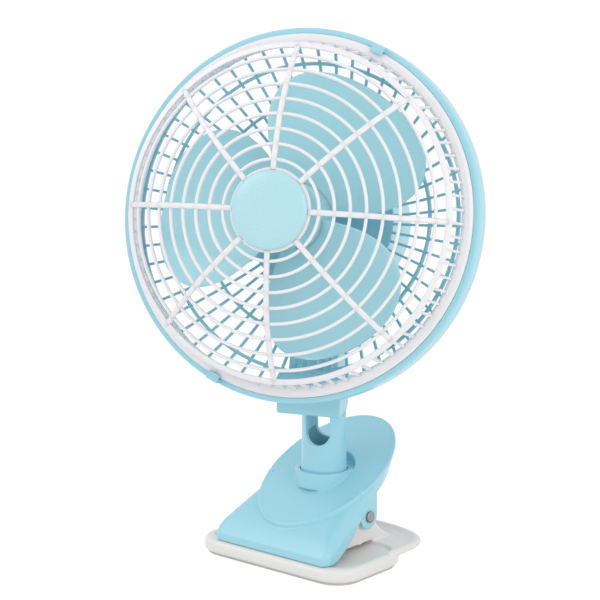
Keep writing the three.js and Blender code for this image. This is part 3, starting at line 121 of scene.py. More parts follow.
middle_of_fan = (0, 0, 0.16)
for name, place, size, power in (
    ("softbox_left", (-0.95, -1.25, 1.35), 1.2, 7.5),
    ("softbox_right", (1.5, -0.35, 0.75), 1.0, 5.5),
):
    lamp_data = bpy.data.lights.new(name, "AREA")
    lamp_data.shape = "SQUARE"
    lamp_data.size = size
    lamp_data.energy = power
    lamp = bpy.data.objects.new(name, lamp_data)
    lamp.location = place
    towards = np.array(middle_of_fan) - np.array(place)
    lamp.rotation_euler = (math.atan2(math.hypot(towards[0], towards[1]), -towards[2]), 0,
                           math.atan2(towards[0], -towards[1]) + math.pi)
    bpy.context.scene.collection.objects.link(lamp)

floor_reach = 6
floor_corners = [(x * floor_reach, y * floor_reach, 0)
                 for x, y in ((-1, -1), (1, -1), (1, 1), (-1, 1))]
floor_mesh = bpy.data.meshes.new("floor")
floor_mesh.from_pydata(floor_corners, [], [(0, 1, 2, 3)])
floor = bpy.data.objects.new("floor", floor_mesh)
bpy.context.scene.collection.objects.link(floor)
floor_material, tree, out = blank_material("white_paper_sweep")
share_that_glows = 0.86    # the rest is the paper's own shading, which keeps the fan's shadow
seen = seen_rays(tree, ("Is Camera Ray", "Is Glossy Ray"))
seen = add_node(tree, "ShaderNodeMath", {1: share_that_glows}, {0: seen.outputs[0]},
                operation="MULTIPLY")
paper = add_node(tree, "ShaderNodeBsdfDiffuse", {"Color": linear("#F4F4F4")})
glow = add_node(tree, "ShaderNodeEmission", {"Color": white_light, "Strength": 1.07})
mixed = add_node(tree, "ShaderNodeMixShader", links={0: seen.outputs[0], 1: paper.outputs[0],
                                                     2: glow.outputs[0]})
tree.links.new(mixed.outputs[0], out.inputs["Surface"])
floor_mesh.materials.append(floor_material)

# -------------------------------------------------- foot: lower jaw of the clamp
# Off-white ABS moulding: a tray with rounded corners that the fan stands on, a raised tongue behind
# it for the fingers, and two lugs for the hinge pin with a saddle between them.
MM = 0.001


def moulded_plastic(name, colour, shade, roughness, grain=0.9, relief=0.006, glow_through=0.0):
    """Injection-moulded ABS or polypropylene: glossy, with the faint cloudiness of the melt and the
    very slight orange peel that a polished mould leaves. grain is the peel's size and relief its
    depth, in millimetres."""
    material, tree, out = blank_material(name)
    where = add_node(tree, "ShaderNodeTexCoord")
    cloud = add_node(tree, "ShaderNodeTexNoise",
                     {"Scale": 1 / (38 * MM), "Detail": 3.0, "Roughness": 0.55},
                     {"Vector": where.outputs["Object"]})
    tint = add_node(tree, "ShaderNodeMix", {"A": linear(colour), "B": linear(shade)},
                    {"Factor": cloud.outputs["Fac"]}, data_type="RGBA")
    peel = add_node(tree, "ShaderNodeTexNoise", {"Scale": 1 / (grain * MM), "Detail": 2.0},
                    {"Vector": where.outputs["Object"]})
    gloss = add_node(tree, "ShaderNodeMapRange",
                     {"From Min": 0.3, "From Max": 0.7,
                      "To Min": roughness - 0.02, "To Max": roughness + 0.02},
                     {"Value": peel.outputs["Fac"]})
    bump = add_node(tree, "ShaderNodeBump", {"Strength": 0.15, "Distance": relief * MM},
                    {"Height": peel.outputs["Fac"]})
    shader = add_node(tree, "ShaderNodeBsdfPrincipled",
                      {"IOR": 1.53, "Subsurface Weight": glow_through, "Subsurface Scale": 4 * MM},
                      {"Base Color": tint.outputs["Result"], "Roughness": gloss.outputs["Result"],
                       "Normal": bump.outputs["Normal"]})
    shader.inputs["Subsurface Radius"].default_value = (0.8, 1.0, 1.0)
    tree.links.new(shader.outputs[0], out.inputs["Surface"])
    return material


def skin_of(grid, round_rows=False):
    """Faces of a grid of points [row, column, xyz]: each square joins a row to the next one, and
    the last column meets the first. The last row meets the first too, or the first and last rows
    are closed by one face each. Returns points, squares and end faces."""
    rows, columns = grid.shape[:2]
    i = np.arange(rows if round_rows else rows - 1)[:, None]
    k = np.arange(columns)[None, :]
    beside = (k + 1) % columns
    ahead = (i + 1) % rows
    squares = np.stack([i * columns + k, i * columns + beside,
                        ahead * columns + beside, ahead * columns + k], -1)
    ends = []
    if not round_rows:
        ends = [np.arange(columns)[::-1], (rows - 1) * columns + np.arange(columns)]
    return grid.reshape(-1, 3), squares.reshape(-1, 4), ends


def mesh_of(name, shells):
    """One mesh in metres from several closed shells in millimetres. Points that meet are merged and
    every face is turned outwards."""
    mesh = bpy.data.meshes.new(name)
    starts = np.cumsum([0] + [len(s[0]) for s in shells[:-1]])
    points = np.concatenate([s[0] for s in shells]) * MM
    faces = np.concatenate([s[1] + start for s, start in zip(shells, starts)]).tolist()
    for shell, start in zip(shells, starts):
        faces += [(end + start).tolist() for end in shell[2]]
    mesh.from_pydata(points.tolist(), [], faces)
    work = bmesh.new()
    work.from_mesh(mesh)
    bmesh.ops.remove_doubles(work, verts=work.verts, dist=1e-6)
    bmesh.ops.dissolve_degenerate(work, edges=work.edges, dist=1e-7)
    bmesh.ops.recalc_face_normals(work, faces=work.faces)
    work.to_mesh(mesh)
    work.free()
    return mesh


def show(name, mesh, material, body, replaced=(), sharp=40):
    """Puts a finished mesh in the scene on its body, smooth shaded except over edges sharper than
    that angle in degrees. Without a body the piece is put on none."""
    mesh.name = name
    mesh.materials.clear()
    mesh.materials.append(material)
    mesh.shade_smooth()
    mesh.set_sharp_from_angle(angle=math.radians(sharp))
    piece = bpy.data.objects.new(name, mesh)
    bpy.context.scene.collection.objects.link(piece)
    if body:
        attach(piece, body)
    if replaced:
        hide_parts(*replaced)
    return piece


def moulded(name, added, removed=(), fitted=(), bored=(), voxel=0.6, passes=6):
    """One skin round overlapping solids, less the cutters, with the small radius that a mould
    leaves on each edge: booleans in the order added, removed, fitted (solids inside the hollow) and
    bored, then a voxel skin of that size in millimetres, then as many smoothing passes."""
    made = []
    steps = ["UNION"] * len(added) + ["DIFFERENCE"] * len(removed)
    steps += ["UNION"] * len(fitted) + ["DIFFERENCE"] * len(bored)
    for shell in [*added, *removed, *fitted, *bored]:
        part = bpy.data.objects.new(f"{name}_{len(made)}", mesh_of(name, [shell]))
        bpy.context.scene.collection.objects.link(part)
        made.append(part)
    first = made[0]
    for part, operation in zip(made[1:], steps[1:]):
        step = first.modifiers.new("join", "BOOLEAN")
        step.object = part
        step.solver = "MANIFOLD"
        step.operation = operation
    skin = first.modifiers.new("skin", "REMESH")
    skin.mode = "VOXEL"
    skin.voxel_size = voxel * MM
    soften = first.modifiers.new("soften", "SMOOTH")
    soften.factor = 0.5
    soften.iterations = passes
    bpy.context.view_layer.update()
    finished = first.evaluated_get(bpy.context.evaluated_depsgraph_get())
    mesh = bpy.data.meshes.new_from_object(finished)
    for part in made:
        bpy.data.objects.remove(part)
    return mesh


def around(count):
    """Angles of that many points spread evenly over a full turn."""
    return np.linspace(0, 2 * math.pi, count, endpoint=False)


def circle(radius, turn, centre=(0, 0)):
    """Points at those angles on a circle in a plane."""
    return np.stack([centre[0] + radius * np.cos(turn), centre[1] + radius * np.sin(turn)], 1)


def arcs(x0, x1, y0, y1, corner, quarter=24):
    """Plan of a rectangle with round corners: four quarter circles of the corner's radius, joined
    by straights."""
    t = np.linspace(0, math.pi / 2, quarter)
    turn = np.concatenate([t + math.pi / 2 * k for k in range(4)])
    middle_x = np.repeat([x1 - corner, x0 + corner, x0 + corner, x1 - corner], quarter)
    middle_y = np.repeat([y1 - corner, y1 - corner, y0 + corner, y0 + corner], quarter)
    return circle(corner, turn, (middle_x, middle_y))


def at_height(plan, z):
    """A plan of (x, y) points lifted to a height, which may differ from point to point."""
    heights = np.broadcast_to(np.asarray(z, float).reshape(-1, 1), (len(plan), 1))
    return np.concatenate([plan, heights], 1)


def stacked(rings):
    """Solid through rings of points, closed at its first and last ring."""
    return skin_of(np.stack(rings))


def plate(inset, z, half_width=53, front=-50, back=10, corner=16):
    """Outline of the foot's plate, inside its edge by the inset, at one height."""
    half = half_width - inset
    outline = arcs(-half, half, front + inset, back - inset, corner - inset)
    return at_height(outline, z)


def tongue(inset, z, half_width=52.5, front=-8, waist=8, reach=29.5):
    """Outline of the tongue: half of a superellipse of power 3 behind a straight-sided root."""
    t = np.linspace(0, math.pi, 61)
    half = half_width - inset
    x = np.sign(np.cos(t)) * np.abs(np.cos(t)) ** (2 / 3) * half
    y = waist + np.sin(t) ** (2 / 3) * (reach - inset)
    root = np.array([[-half, inset + front], [half, inset + front]])
    return at_height(np.concatenate([np.stack([x, y], 1), root]), z)


def across(side, x0, x1):
    """Prism along X from a side view of (y, z) points."""
    side = np.asarray(side, float)
    slabs = [np.concatenate([np.full((len(side), 1), x), side], 1) for x in (x0, x1)]
    return skin_of(np.stack(slabs))


def bend(start, middle, end, count=12):
    """Points on the quadratic curve from start to end that leaves and arrives along the lines to
    middle."""
    t = np.linspace(0, 1, count)[:, None]
    start, middle, end = (np.array(p, float) for p in (start, middle, end))
    return (1 - t) ** 2 * start + 2 * t * (1 - t) * middle + t ** 2 * end


def rod(axis, radius, low, high, centre=(0, 0), count=48):
    """Rod along X, Y or Z (axis 0, 1 or 2) between two places, round a centre given by the other
    two coordinates."""
    ring = circle(radius, around(count), centre)
    return skin_of(np.stack([np.insert(ring, axis, value, axis=1) for value in (low, high)]))


PIN_Y, PIN_Z = -1.5, 25.2
PIN = (PIN_Y, PIN_Z)
BORE = 2.3             # radius of the holes for the pin, the tilt bolt and the swivel screw
lug_eye = 6.4          # radius of the lug's round top
lug_front, lug_toe, lug_back = (-25, 7), (-25, 7.7), (27, 7)
saddle_top = 13
lug = np.concatenate([
    bend(lug_toe, (PIN_Y - 12, 11.7), (PIN_Y - lug_eye, PIN_Z)),
    circle(lug_eye, np.linspace(math.pi, 0, 25), PIN),
    bend((PIN_Y + lug_eye, PIN_Z), (PIN_Y + 12, saddle_top), lug_back),
    [lug_front],
])
saddle = np.concatenate([
    bend(lug_toe, (PIN_Y - 12, saddle_top), (PIN_Y, saddle_top)),
    bend((PIN_Y, saddle_top), (PIN_Y + 12, saddle_top), lug_back),
    [lug_front],
])
foot = moulded(
    "foot",
    [
        stacked([plate(inset, z) for inset, z in
                 ((1.2, 1.5), (0.3, 2.2), (0, 3.4), (0, 6.2), (0.5, 7.6), (1.5, 8.5), (2.6, 8.7))]),
        stacked([tongue(inset, z) for inset, z in
                 ((2.4, 6), (0.6, 6.6), (0, 7.8), (0.4, 9.2), (1.6, 9.9), (3.0, 9.9), (6, 9.0),
                  (12, 8.7))]),
        across(lug, 27, 30.2),
        across(lug, -30.2, -27),
        across(saddle, -28, 28),
    ],
    [
        stacked([plate(inset, z, half_width=49, front=-43, back=6, corner=12)
                 for inset, z in ((1.6, 7.3), (0.9, 7.5), (0.3, 8.1), (0, 9.6))]),
        rod(0, BORE, -32, 32, PIN),
    ],
    voxel=0.62,
)
foot_plastic = moulded_plastic("moulded_abs_off_white", "#E9E6E4", "#E4E1DE", 0.34)
show("foot_shell", foot, foot_plastic, "base", ["lower_jaw"])

# -------------------------------------------------- rubber pads
# Pads glued into the jaws (grey nitrile) and under the foot (pale silicone), with fine ribs across
# so that they don't slip.


def ribbed_rubber(name, colour, shade, spacing=0.5):
    """Matt rubber with moulded ribs at that spacing in millimetres, and a little dust in its
    colour."""
    material, tree, out = blank_material(name)
    where = add_node(tree, "ShaderNodeTexCoord")
    waves_per_unit = 6.28    # what the wave texture makes of one unit of scale
    ribs = add_node(tree, "ShaderNodeTexWave",
                    {"Scale": 1 / (waves_per_unit * spacing * MM), "Distortion": 0.0},
                    {"Vector": where.outputs["Object"]}, bands_direction="Y")
    dust = add_node(tree, "ShaderNodeTexNoise", {"Scale": 1 / (3 * MM), "Detail": 4.0},
                    {"Vector": where.outputs["Object"]})
    tint = add_node(tree, "ShaderNodeMix", {"A": linear(colour), "B": linear(shade)},
                    {"Factor": dust.outputs["Fac"]}, data_type="RGBA")
    bump = add_node(tree, "ShaderNodeBump", {"Strength": 0.5, "Distance": 0.12 * MM},
                    {"Height": ribs.outputs["Fac"]})
    shader = add_node(tree, "ShaderNodeBsdfPrincipled", {"IOR": 1.5, "Roughness": 0.78},
                      {"Base Color": tint.outputs["Result"], "Normal": bump.outputs["Normal"]})
    tree.links.new(shader.outputs[0], out.inputs["Surface"])
    return material


def dress(finish, *names):
    """Gives the CAD nodes of those names one material."""
    for name in names:
        nodes[name].data.materials.clear()
        nodes[name].data.materials.append(finish)


grey_rubber = ribbed_rubber("ribbed_nitrile_rubber", "#6E7072", "#7C7E80")
pale_rubber = ribbed_rubber("ribbed_pale_silicone", "#CFCDCA", "#C7C5C2", 0.8)
dress(pale_rubber, "base_pad")
dress(grey_rubber, "lower_grip_pad", "upper_grip_pad")

# -------------------------------------------------- hinge pin and its clip
# A plated steel pin with a rolled head on the right, held by a spring clip on the left. Fine
# turning marks round it.


def drawn_steel(name, colour, shade, roughness, turning=0.25):
    """Plated or drawn steel: a metal with fine marks at the given spacing in millimetres, and
    slight blotches."""
    material, tree, out = blank_material(name)
    where = add_node(tree, "ShaderNodeTexCoord")
    blotch = add_node(tree, "ShaderNodeTexNoise", {"Scale": 1 / (4 * MM), "Detail": 4.0},
                      {"Vector": where.outputs["Object"]})
    tint = add_node(tree, "ShaderNodeMix", {"A": linear(colour), "B": linear(shade)},
                    {"Factor": blotch.outputs["Fac"]}, data_type="RGBA")
    marks = add_node(tree, "ShaderNodeTexNoise", {"Scale": 1 / (turning * MM), "Detail": 2.0},
                     {"Vector": where.outputs["Object"]})
    gloss = add_node(tree, "ShaderNodeMapRange",
                     {"To Min": roughness - 0.08, "To Max": roughness + 0.1},
                     {"Value": marks.outputs["Fac"]})
    bump = add_node(tree, "ShaderNodeBump", {"Strength": 0.25, "Distance": 0.03 * MM},
                    {"Height": marks.outputs["Fac"]})
    shader = add_node(tree, "ShaderNodeBsdfPrincipled", {"Metallic": 1.0},
                      {"Base Color": tint.outputs["Result"], "Roughness": gloss.outputs["Result"],
                       "Normal": bump.outputs["Normal"]})
    tree.links.new(shader.outputs[0], out.inputs["Surface"])
    return material


def softened(outline, radius, steps=4):
    """Closed outline whose corners are replaced by quadratic curves that start that far from each
    corner."""
    outline = np.asarray(outline, float)
    before = np.roll(outline, 1, 0) - outline
    after = np.roll(outline, -1, 0) - outline
    long_before = np.maximum(np.linalg.norm(before, axis=1, keepdims=True), 1e-9)
    long_after = np.maximum(np.linalg.norm(after, axis=1, keepdims=True), 1e-9)
    most = 0.45    # of a side, so that two curves never meet on it
    start = outline + before / long_before * np.minimum(radius, most * long_before)
    end = outline + after / long_after * np.minimum(radius, most * long_after)
    t = np.linspace(0, 1, steps)[None, :, None]
    start, middle, end = start[:, None], outline[:, None], end[:, None]
    curve = (1 - t) ** 2 * start + 2 * t * (1 - t) * middle + t ** 2 * end
    return curve.reshape(-1, 2)


def spun(profile, axis=2, centre=(0, 0), turns=48):
    """Profile of (radius, place along the axis) turned about X, Y or Z (axis 0, 1 or 2)."""
    profile = np.asarray(profile, float)
    t = around(turns)[:, None]
    first = centre[0] + profile[None, :, 0] * np.cos(t)
    second = centre[1] + profile[None, :, 0] * np.sin(t)
    along = np.broadcast_to(profile[None, :, 1], first.shape)
    grid = np.stack([first, second], -1)
    grid = np.insert(grid, axis, along, axis=2)
    return skin_of(grid, round_rows=True)


bright_steel = drawn_steel("zinc_plated_steel", "#A9ABAE", "#8E9093", 0.34)
pin = spun(softened([(0, -36.1), (1.6, -36.1), (2, -35.6), (2, 33.8), (3.2, 33.8), (3.2, 34.7),
                     (2.4, 35.1), (0, 35.1)], 0.25), 0, PIN)
show("hinge_pin_turned", mesh_of("pin", [pin]), bright_steel, "base", ["hinge_pin"])
clip = spun(softened([(2.3, -35.0), (3.2, -35.0), (3.2, -33.8), (2.3, -33.8)], 0.25), 0, PIN)
show("hinge_clip_sprung", mesh_of("clip", [clip]), bright_steel, "base", ["hinge_clip"])

# -------------------------------------------------- torsion spring
# Spring wire of 2.2 mm wound eight times round the pin; one leg pushes the hood's handle up, the
# other pushes the tongue down.


def carried(path, section, first=(1.0, 0.0, 0.0)):
    """Section of (a, b) points carried along a path: a lies along a normal that is kept as straight
    as the path allows, b along the cross product of the path's direction and that normal."""
    path = np.asarray(path, float)
    along = np.gradient(path, axis=0)
    along /= np.linalg.norm(along, axis=1, keepdims=True)
    normal = np.asarray(first, float)
    normals = []
    for direction in along:
        normal = normal - direction * (normal @ direction)
        normal = normal / np.linalg.norm(normal)
        normals.append(normal)
    normals = np.stack(normals)
    side = np.cross(along, normals)
    wide = section[None, :, :1] * normals[:, None]
    high = section[None, :, 1:] * side[:, None]
    return path[:, None] + wide + high


def oval(width, height, power=2.0, count=12):
    """Closed section: a superellipse of that width, height and power."""
    c, s = np.cos(around(count)), np.sin(around(count))
    return np.stack([np.sign(c) * np.abs(c) ** (2 / power) * width / 2,
                     np.sign(s) * np.abs(s) ** (2 / power) * height / 2], 1)


def hood_plane(y, middle=44.4, slope=0.505):
    """Height of the hood's sloping face."""
    return middle + slope * np.asarray(y, float)


def spring_path(radius=3.7, pitch=3.4, turns=8, wire=1.1, play=0.3):
    """Two straight legs that leave the coil on tangents, joined by a helix round the pin. The upper
    leg ends under the hood's skin and the lower one on the tongue."""
    tongue_top = 10
    upper_y, lower_y = 26, 27
    ends = [(upper_y, float(hood_plane(upper_y)) - SKIN - wire - play, 1),
            (lower_y, tongue_top + wire + play, -1)]
    legs = []
    for y, z, side in ends:
        away = math.hypot(y - PIN_Y, z - PIN_Z)
        lean = math.atan2(z - PIN_Z, y - PIN_Y) + side * math.asin(radius / away)
        legs.append((lean, math.sqrt(away ** 2 - radius ** 2)))
    start = legs[0][0] - math.pi / 2
    end = legs[1][0] + math.pi / 2 - 2 * math.pi * turns
    t = np.linspace(start, end, 280)
    x = pitch * ((start - t) / (2 * math.pi) - (start - end) / (4 * math.pi))
    coil = np.insert(circle(radius, t, PIN), 0, x, axis=1)
    reach = np.linspace(1, 0.03, 14)[:, None]
    leg = [coil[i] + reach * np.array([0, d * math.cos(a), d * math.sin(a)])
           for i, (a, d) in zip((0, -1), legs)]
    return np.concatenate([leg[0], coil, leg[1][::-1]])


SKIN = 2.4    # wall of the hood


spring = skin_of(carried(spring_path(), oval(2.16, 2.16)))
spring_steel = drawn_steel("oiled_spring_wire", "#8B8D90", "#6C6E71", 0.3)
wound = show("jaw_spring_wound", mesh_of("spring", [spring]), spring_steel, None, ["jaw_spring"])
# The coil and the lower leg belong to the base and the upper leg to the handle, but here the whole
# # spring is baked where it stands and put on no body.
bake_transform(wound)

# -------------------------------------------------- hood: upper jaw of the clamp
# Aqua ABS shell: an oval plate that slopes up to the squeeze handle, over a wide toe that grips;
# the oval stands a millimetre proud of the toe, and a collar on it takes the stem. The underside is
# open.


def hood_ring(inset, drop, count=128):
    """Oval ring inside the hood's outline, that far below its sloping face."""
    t = around(count)
    middle_y, half_length, half_width = 2.9, 42.6, 35
    y = middle_y + (half_length - inset) * np.sin(t)
    return np.stack([(half_width - inset) * np.cos(t), y, hood_plane(y) - drop], 1)


def toe_section(y, wall, dip, count=10):
    """Arch of the toe at one y: feet at the edge, straight sides, round shoulders and a flat top,
    whose height is the lower of the steep face and the roof, blended where the two cross. wall
    moves it in and dip lowers its feet."""
    waist_half, waist_y, extra_half, corner_run, corner_cut = 34, -10, 7, 6, 4.2
    splay = np.clip((waist_y - y) / (waist_y - TOE_FRONT), 0, 1) ** 0.85
    rounding = np.clip(1 - (y - TOE_FRONT) / corner_run, 0, 1) ** 2
    w = waist_half + extra_half * splay - corner_cut * rounding - wall
    nose_height, steepness, roof_below_plane, blend_width = 13.5, 1.15, 2.0, 2.2
    at = y + wall * 0.6
    face = nose_height + steepness * (at - TOE_FRONT)
    roof = float(hood_plane(at)) - roof_below_plane
    top = (face + roof - math.sqrt((face - roof) ** 2 + blend_width ** 2)) / 2 - wall
    low, high = 9.0, float(hood_plane(2)) - 11.5
    arch = np.clip((y + 40) / 42, 0, 1) ** 1.5
    edge = low + (high - low) * arch - dip
    least_shoulder, shoulder = 0.4, 8
    r = max(least_shoulder, min(shoulder - wall, (top - edge) * 0.55))
    t = np.linspace(0, math.pi / 2, count)
    left = np.stack([-w + r - r * np.cos(t), top - r + r * np.sin(t)], 1)
    right = np.stack([w - r + r * np.cos(t[::-1]), top - r + r * np.sin(t[::-1])], 1)
    points = np.concatenate([[(-w, edge)], left, right, [(w, edge)]])
    return np.insert(points, 1, y, axis=1)


TOE_FRONT = -47.5
behind_front = np.concatenate([[0, 0.5, 1, 1.7, 2.5, 4], np.linspace(6, 50, 23)])
stations = TOE_FRONT + behind_front
hollow_at = np.maximum(stations, TOE_FRONT + SKIN + 0.01 * behind_front)
ear_radius, ear_root = 7, 41.2
ear = np.concatenate([
    circle(ear_radius, np.linspace(math.pi, 2 * math.pi, 33), PIN),
    [(PIN_Y + ear_radius, ear_root), (PIN_Y - ear_radius, ear_root)],
])
round_cup = circle(19.4, around(96))
cup_top = hood_plane(round_cup[:, 1]) - 0.1
cup = stacked([at_height(round_cup, np.minimum(44.6, cup_top - 2)), at_height(round_cup, cup_top)])
seat_plan = arcs(-37, 37, -45.5, -29, 1)
grip_seat = stacked([at_height(seat_plan, 11), at_height(seat_plan, 13)])
swivel_boss = rod(2, 16.2, 38, 47, count=96)
collar_mouth = rod(2, 17.2, 47, 70, count=96)
stem_socket = rod(2, 13.3, 44.5, 70, count=96)
hood = moulded(
    "hood",
    [
        stacked([hood_ring(inset, drop) for inset, drop in
                 ((3, 11.5), (0.5, 3), (0, 1.4), (0.05, 0.3), (0.5, -0.1), (1.2, -0.1), (2.2, 0.15),
                  (3.6, 0.15))]),
        stacked([toe_section(y, 0, 0) for y in stations]),
    ],
    [
        stacked([hood_ring(5.4, 12.5), hood_ring(2.8, 3.4), hood_ring(3.4, SKIN)]),
        stacked([toe_section(y, SKIN, 4) for y in hollow_at]),
    ],
    fitted=[
        grip_seat,
        swivel_boss,
        cup,
        across(ear, 30.5, 33.5),
        across(ear, -33.5, -30.5),
    ],
    bored=[
        collar_mouth,
        stem_socket,
        rod(2, BORE, 30, 50),
        rod(0, BORE, -40, 40, PIN),
    ],
    voxel=0.4,
    passes=3,
)
aqua = moulded_plastic("moulded_abs_aqua", "#A1D7E5", "#9CD4E3", 0.24)
show("hood_shell", hood, aqua, "upper", ["upper_jaw"])

# -------------------------------------------------- stem: the yoke that the head hangs in
# Aqua ABS tube that turns in the collar; a slot leaves two arms, rounded on top, with a spot face
# for the bolt.
tilt = next(j for j in frame["joints"] if j["name"] == "head_tilt")
side_axis = -np.array(tilt["axis"], float)
fore_axis = np.array([-side_axis[1], side_axis[0], 0])
PIVOT_Z = 85.7


def on_stem(shell):
    """Turns a shell drawn square to the stem into the direction that the head faces."""
    points, squares, ends = shell
    x, y, z = points[:, :1], points[:, 1:2], points[:, 2:]
    return x * side_axis + y * fore_axis + z * np.array([0, 0, 1.0]), squares, ends


def back_along(front, y0, y1):
    """Prism along Y from a front view of (x, z) points."""
    front = np.asarray(front, float)
    return skin_of(np.stack([np.insert(front, 1, y, axis=1) for y in (y0, y1)]))


half_turn = np.linspace(0, math.pi, 33)
PIVOT = (0, PIVOT_Z)
STEM = 12.2                     # radius of the tube and of the arms' round ends
slot_half, slot_floor = 6.8, 68.8
clear, over_all = 20, 110       # cutters reach this far out and this high
tube = stacked([at_height(circle(r, around(96)), z)
                for r, z in ((STEM, 44.8), (13, 45.6), (STEM, 60), (STEM, 98))])
above = np.concatenate([
    [(STEM, PIVOT_Z)],
    circle(STEM, half_turn, PIVOT)[1:-1],
    [(-STEM, PIVOT_Z), (-clear, PIVOT_Z), (-clear, over_all), (clear, over_all), (clear, PIVOT_Z)],
])
slot_front = np.concatenate([
    [(-slot_half, over_all)],
    circle(slot_half, math.pi + half_turn, (0, slot_floor)),
    [(slot_half, over_all)],
])
stem = moulded(
    "stem",
    [on_stem(tube)],
    [
        on_stem(across(above, -clear, clear)),
        on_stem(rod(2, 9.4, 47.6, 69, count=96)),
        on_stem(back_along(slot_front, -clear, clear)),
        on_stem(rod(2, BORE, 40, 50)),
        on_stem(rod(0, BORE, -clear, clear, PIVOT)),
        on_stem(rod(0, 8.2, 10.6, clear, PIVOT)),
        on_stem(rod(0, 8.2, -clear, -10.6, PIVOT)),
    ],
    voxel=0.38,
)
show("stem_yoke", stem, aqua, "yoke", ["yoke"])

# -------------------------------------------------- bolts and screws of the stem
# Zinc-plated hardware: a pan-head bolt and nut through the arms, and a screw, washer and nut down
# in the tube.
bolt_head = softened([(0, 10.9), (4, 10.9), (4, 11.9), (3.2, 12.9), (0, 13.3)], 0.5)
bolt_shank = softened([(0, -14.7), (1.7, -14.7), (2, -14.3), (2, 11.2), (0, 11.2)], 0.2)
bolt = [on_stem(spun(profile, 0, PIVOT)) for profile in (bolt_head, bolt_shank)]
show("tilt_bolt_turned", mesh_of("bolt", bolt), bright_steel, "yoke", ["tilt_bolt"])
dress(bright_steel, "tilt_nut", "swivel_washer", "swivel_screw", "swivel_nut")

# -------------------------------------------------- motor case with neck, chin and knuckle
# Front half of the motor's case, aqua ABS: a drum, a fluted neck below it, and a chin block ahead
# of the knuckle that sits between the stem's arms. The rear half is a cap with a rounded edge, held
# by two screws.
spin = next(j for j in frame["joints"] if j["name"] == "blade_spin")
slide = next(j for j in frame["joints"] if j["name"] == "speed_slide")
head_back = np.array(spin["axis"], float)
head_back /= np.linalg.norm(head_back)
head_right = np.array(slide["axis"], float)
head_right /= np.linalg.norm(head_right)
head_up = np.cross(head_right, head_back)
hub_at = np.array(spin["pos_m"], float) / MM


def in_head(*shells):
    """Shells drawn square to the fan (x right, y back along its axis, z up) moved to where the head
    is."""
    moved = []
    for points, squares, ends in shells:
        x, y, z = points[:, :1], points[:, 1:2], points[:, 2:]
        moved.append((hub_at + x * head_right + y * head_back + z * head_up, squares, ends))
    return moved


def block(x0, x1, y0, y1, z0, z1):
    """Box between two corners."""
    ends = [[(x, y0, z0), (x, y1, z0), (x, y1, z1), (x, y0, z1)] for x in (x0, x1)]
    return skin_of(np.array(ends, float))


def vents(degrees, y, depth, width=3):
    """Cutters for slots that run out from the fan's axis at those angles, sunk by that depth about
    y."""
    run = np.linspace(17, 26, 7)
    section = oval(depth, width, 6, 16)
    cutters = []
    for a in map(math.radians, degrees):
        path = np.stack([run * math.cos(a), 0 * run + y, run * math.sin(a)], 1)
        cutters.append(skin_of(carried(path, section, (0.0, 1.0, 0.0))))
    return cutters


KNUCKLE = (66.5, -97)              # where the tilt bolt crosses the head, as y and z
knuckle_half = 6.5
arm_room = circle(13.2, np.linspace(0, 6.2, 60), (66.4, -97))
arm_sides = ((-19, -6.6), (6.6, 19))
screw_posts = ((31, 0), (-31, 0))
chin_half = 18
chin_floor = -101
chin = softened([(40, -82), (40, -105.5), (45, -105.5), (50, chin_floor), (66.5, chin_floor),
                 (66.5, -86), (62, -82)], 3, 6)
web = [(48, -80), (48, -99), (60.1, -101.8), (74.1, -94.6), (62, -80)]
flute_pitch = 4.6
flutes = [rod(2, 1.1, -82, -32, (flute_pitch * i, 44), 16) for i in range(-2, 3)]
drum = spun(softened([(0, 40), (35.4, 40), (37.3, 40.7), (38, 42.6), (38, 62), (0, 62)], 0.6), 1,
            turns=128)
drum_hollow = spun([(0, 42.2), (35.8, 42.2), (35.8, 64), (0, 64)], 1, turns=96)
neck = block(-14, 14, 44, 62, -90, -30)
bearing_boss, bearing_seat = rod(1, 8.6, 41, 45.4), rod(1, 6.3, 39, 46.4)
case = moulded(
    "case",
    in_head(
        drum,
        neck,
        across(chin, -chin_half, chin_half),
        across(web, -knuckle_half, knuckle_half),
        rod(0, 8, -knuckle_half, knuckle_half, KNUCKLE),
    ),
    in_head(
        drum_hollow,
        *flutes,
        *(across(arm_room, *side) for side in arm_sides),
        *(block(*side, 66.4, 90, -103, -97) for side in arm_sides),
        rod(0, BORE, -20, 20, KNUCKLE),
    ),
    fitted=in_head(bearing_boss, *(rod(1, 3.6, 41, 62, post) for post in screw_posts)),
    bored=in_head(bearing_seat, *(rod(1, 1.8, 53, 64, post) for post in screw_posts),
                  *vents(np.arange(22.5, 360, 45), 39, 9)),
    voxel=0.55,
)
show("motor_case", case, aqua, "head", ["motor_housing"])

switch_slot = block(-8.8, 8.8, 80, 92, 16.2, 23.8)
cover_hollow = rod(1, 35.8, 60, 84, count=96)
cover_radius, cover_front, cover_back = 37.75, 62.3, 87.85
cover_profile = softened([(0, cover_front), (cover_radius, cover_front), (cover_radius, cover_back),
                          (0, cover_back)], 6, 8)
cover = moulded(
    "cover",
    in_head(spun(cover_profile, 1, turns=128)),
    in_head(
        cover_hollow,
        switch_slot,
        *vents((210, 240, 270, 300, 330), 87, 12),
        *(rod(1, 3.3, 65.3, 92, post) for post in screw_posts),
    ),
    voxel=0.6,
)
show("motor_cap", cover, aqua, "head", ["motor_cover"])

# -------------------------------------------------- switch and cord inlet
# White ABS thumb slider in the back of the motor cap, and the bush where the cord would come out
# below it.
white = moulded_plastic("moulded_abs_white", "#ECEBEE", "#E8E7EB", 0.3, glow_through=0.25)
dress(white, "speed_slider", "cord_gland")

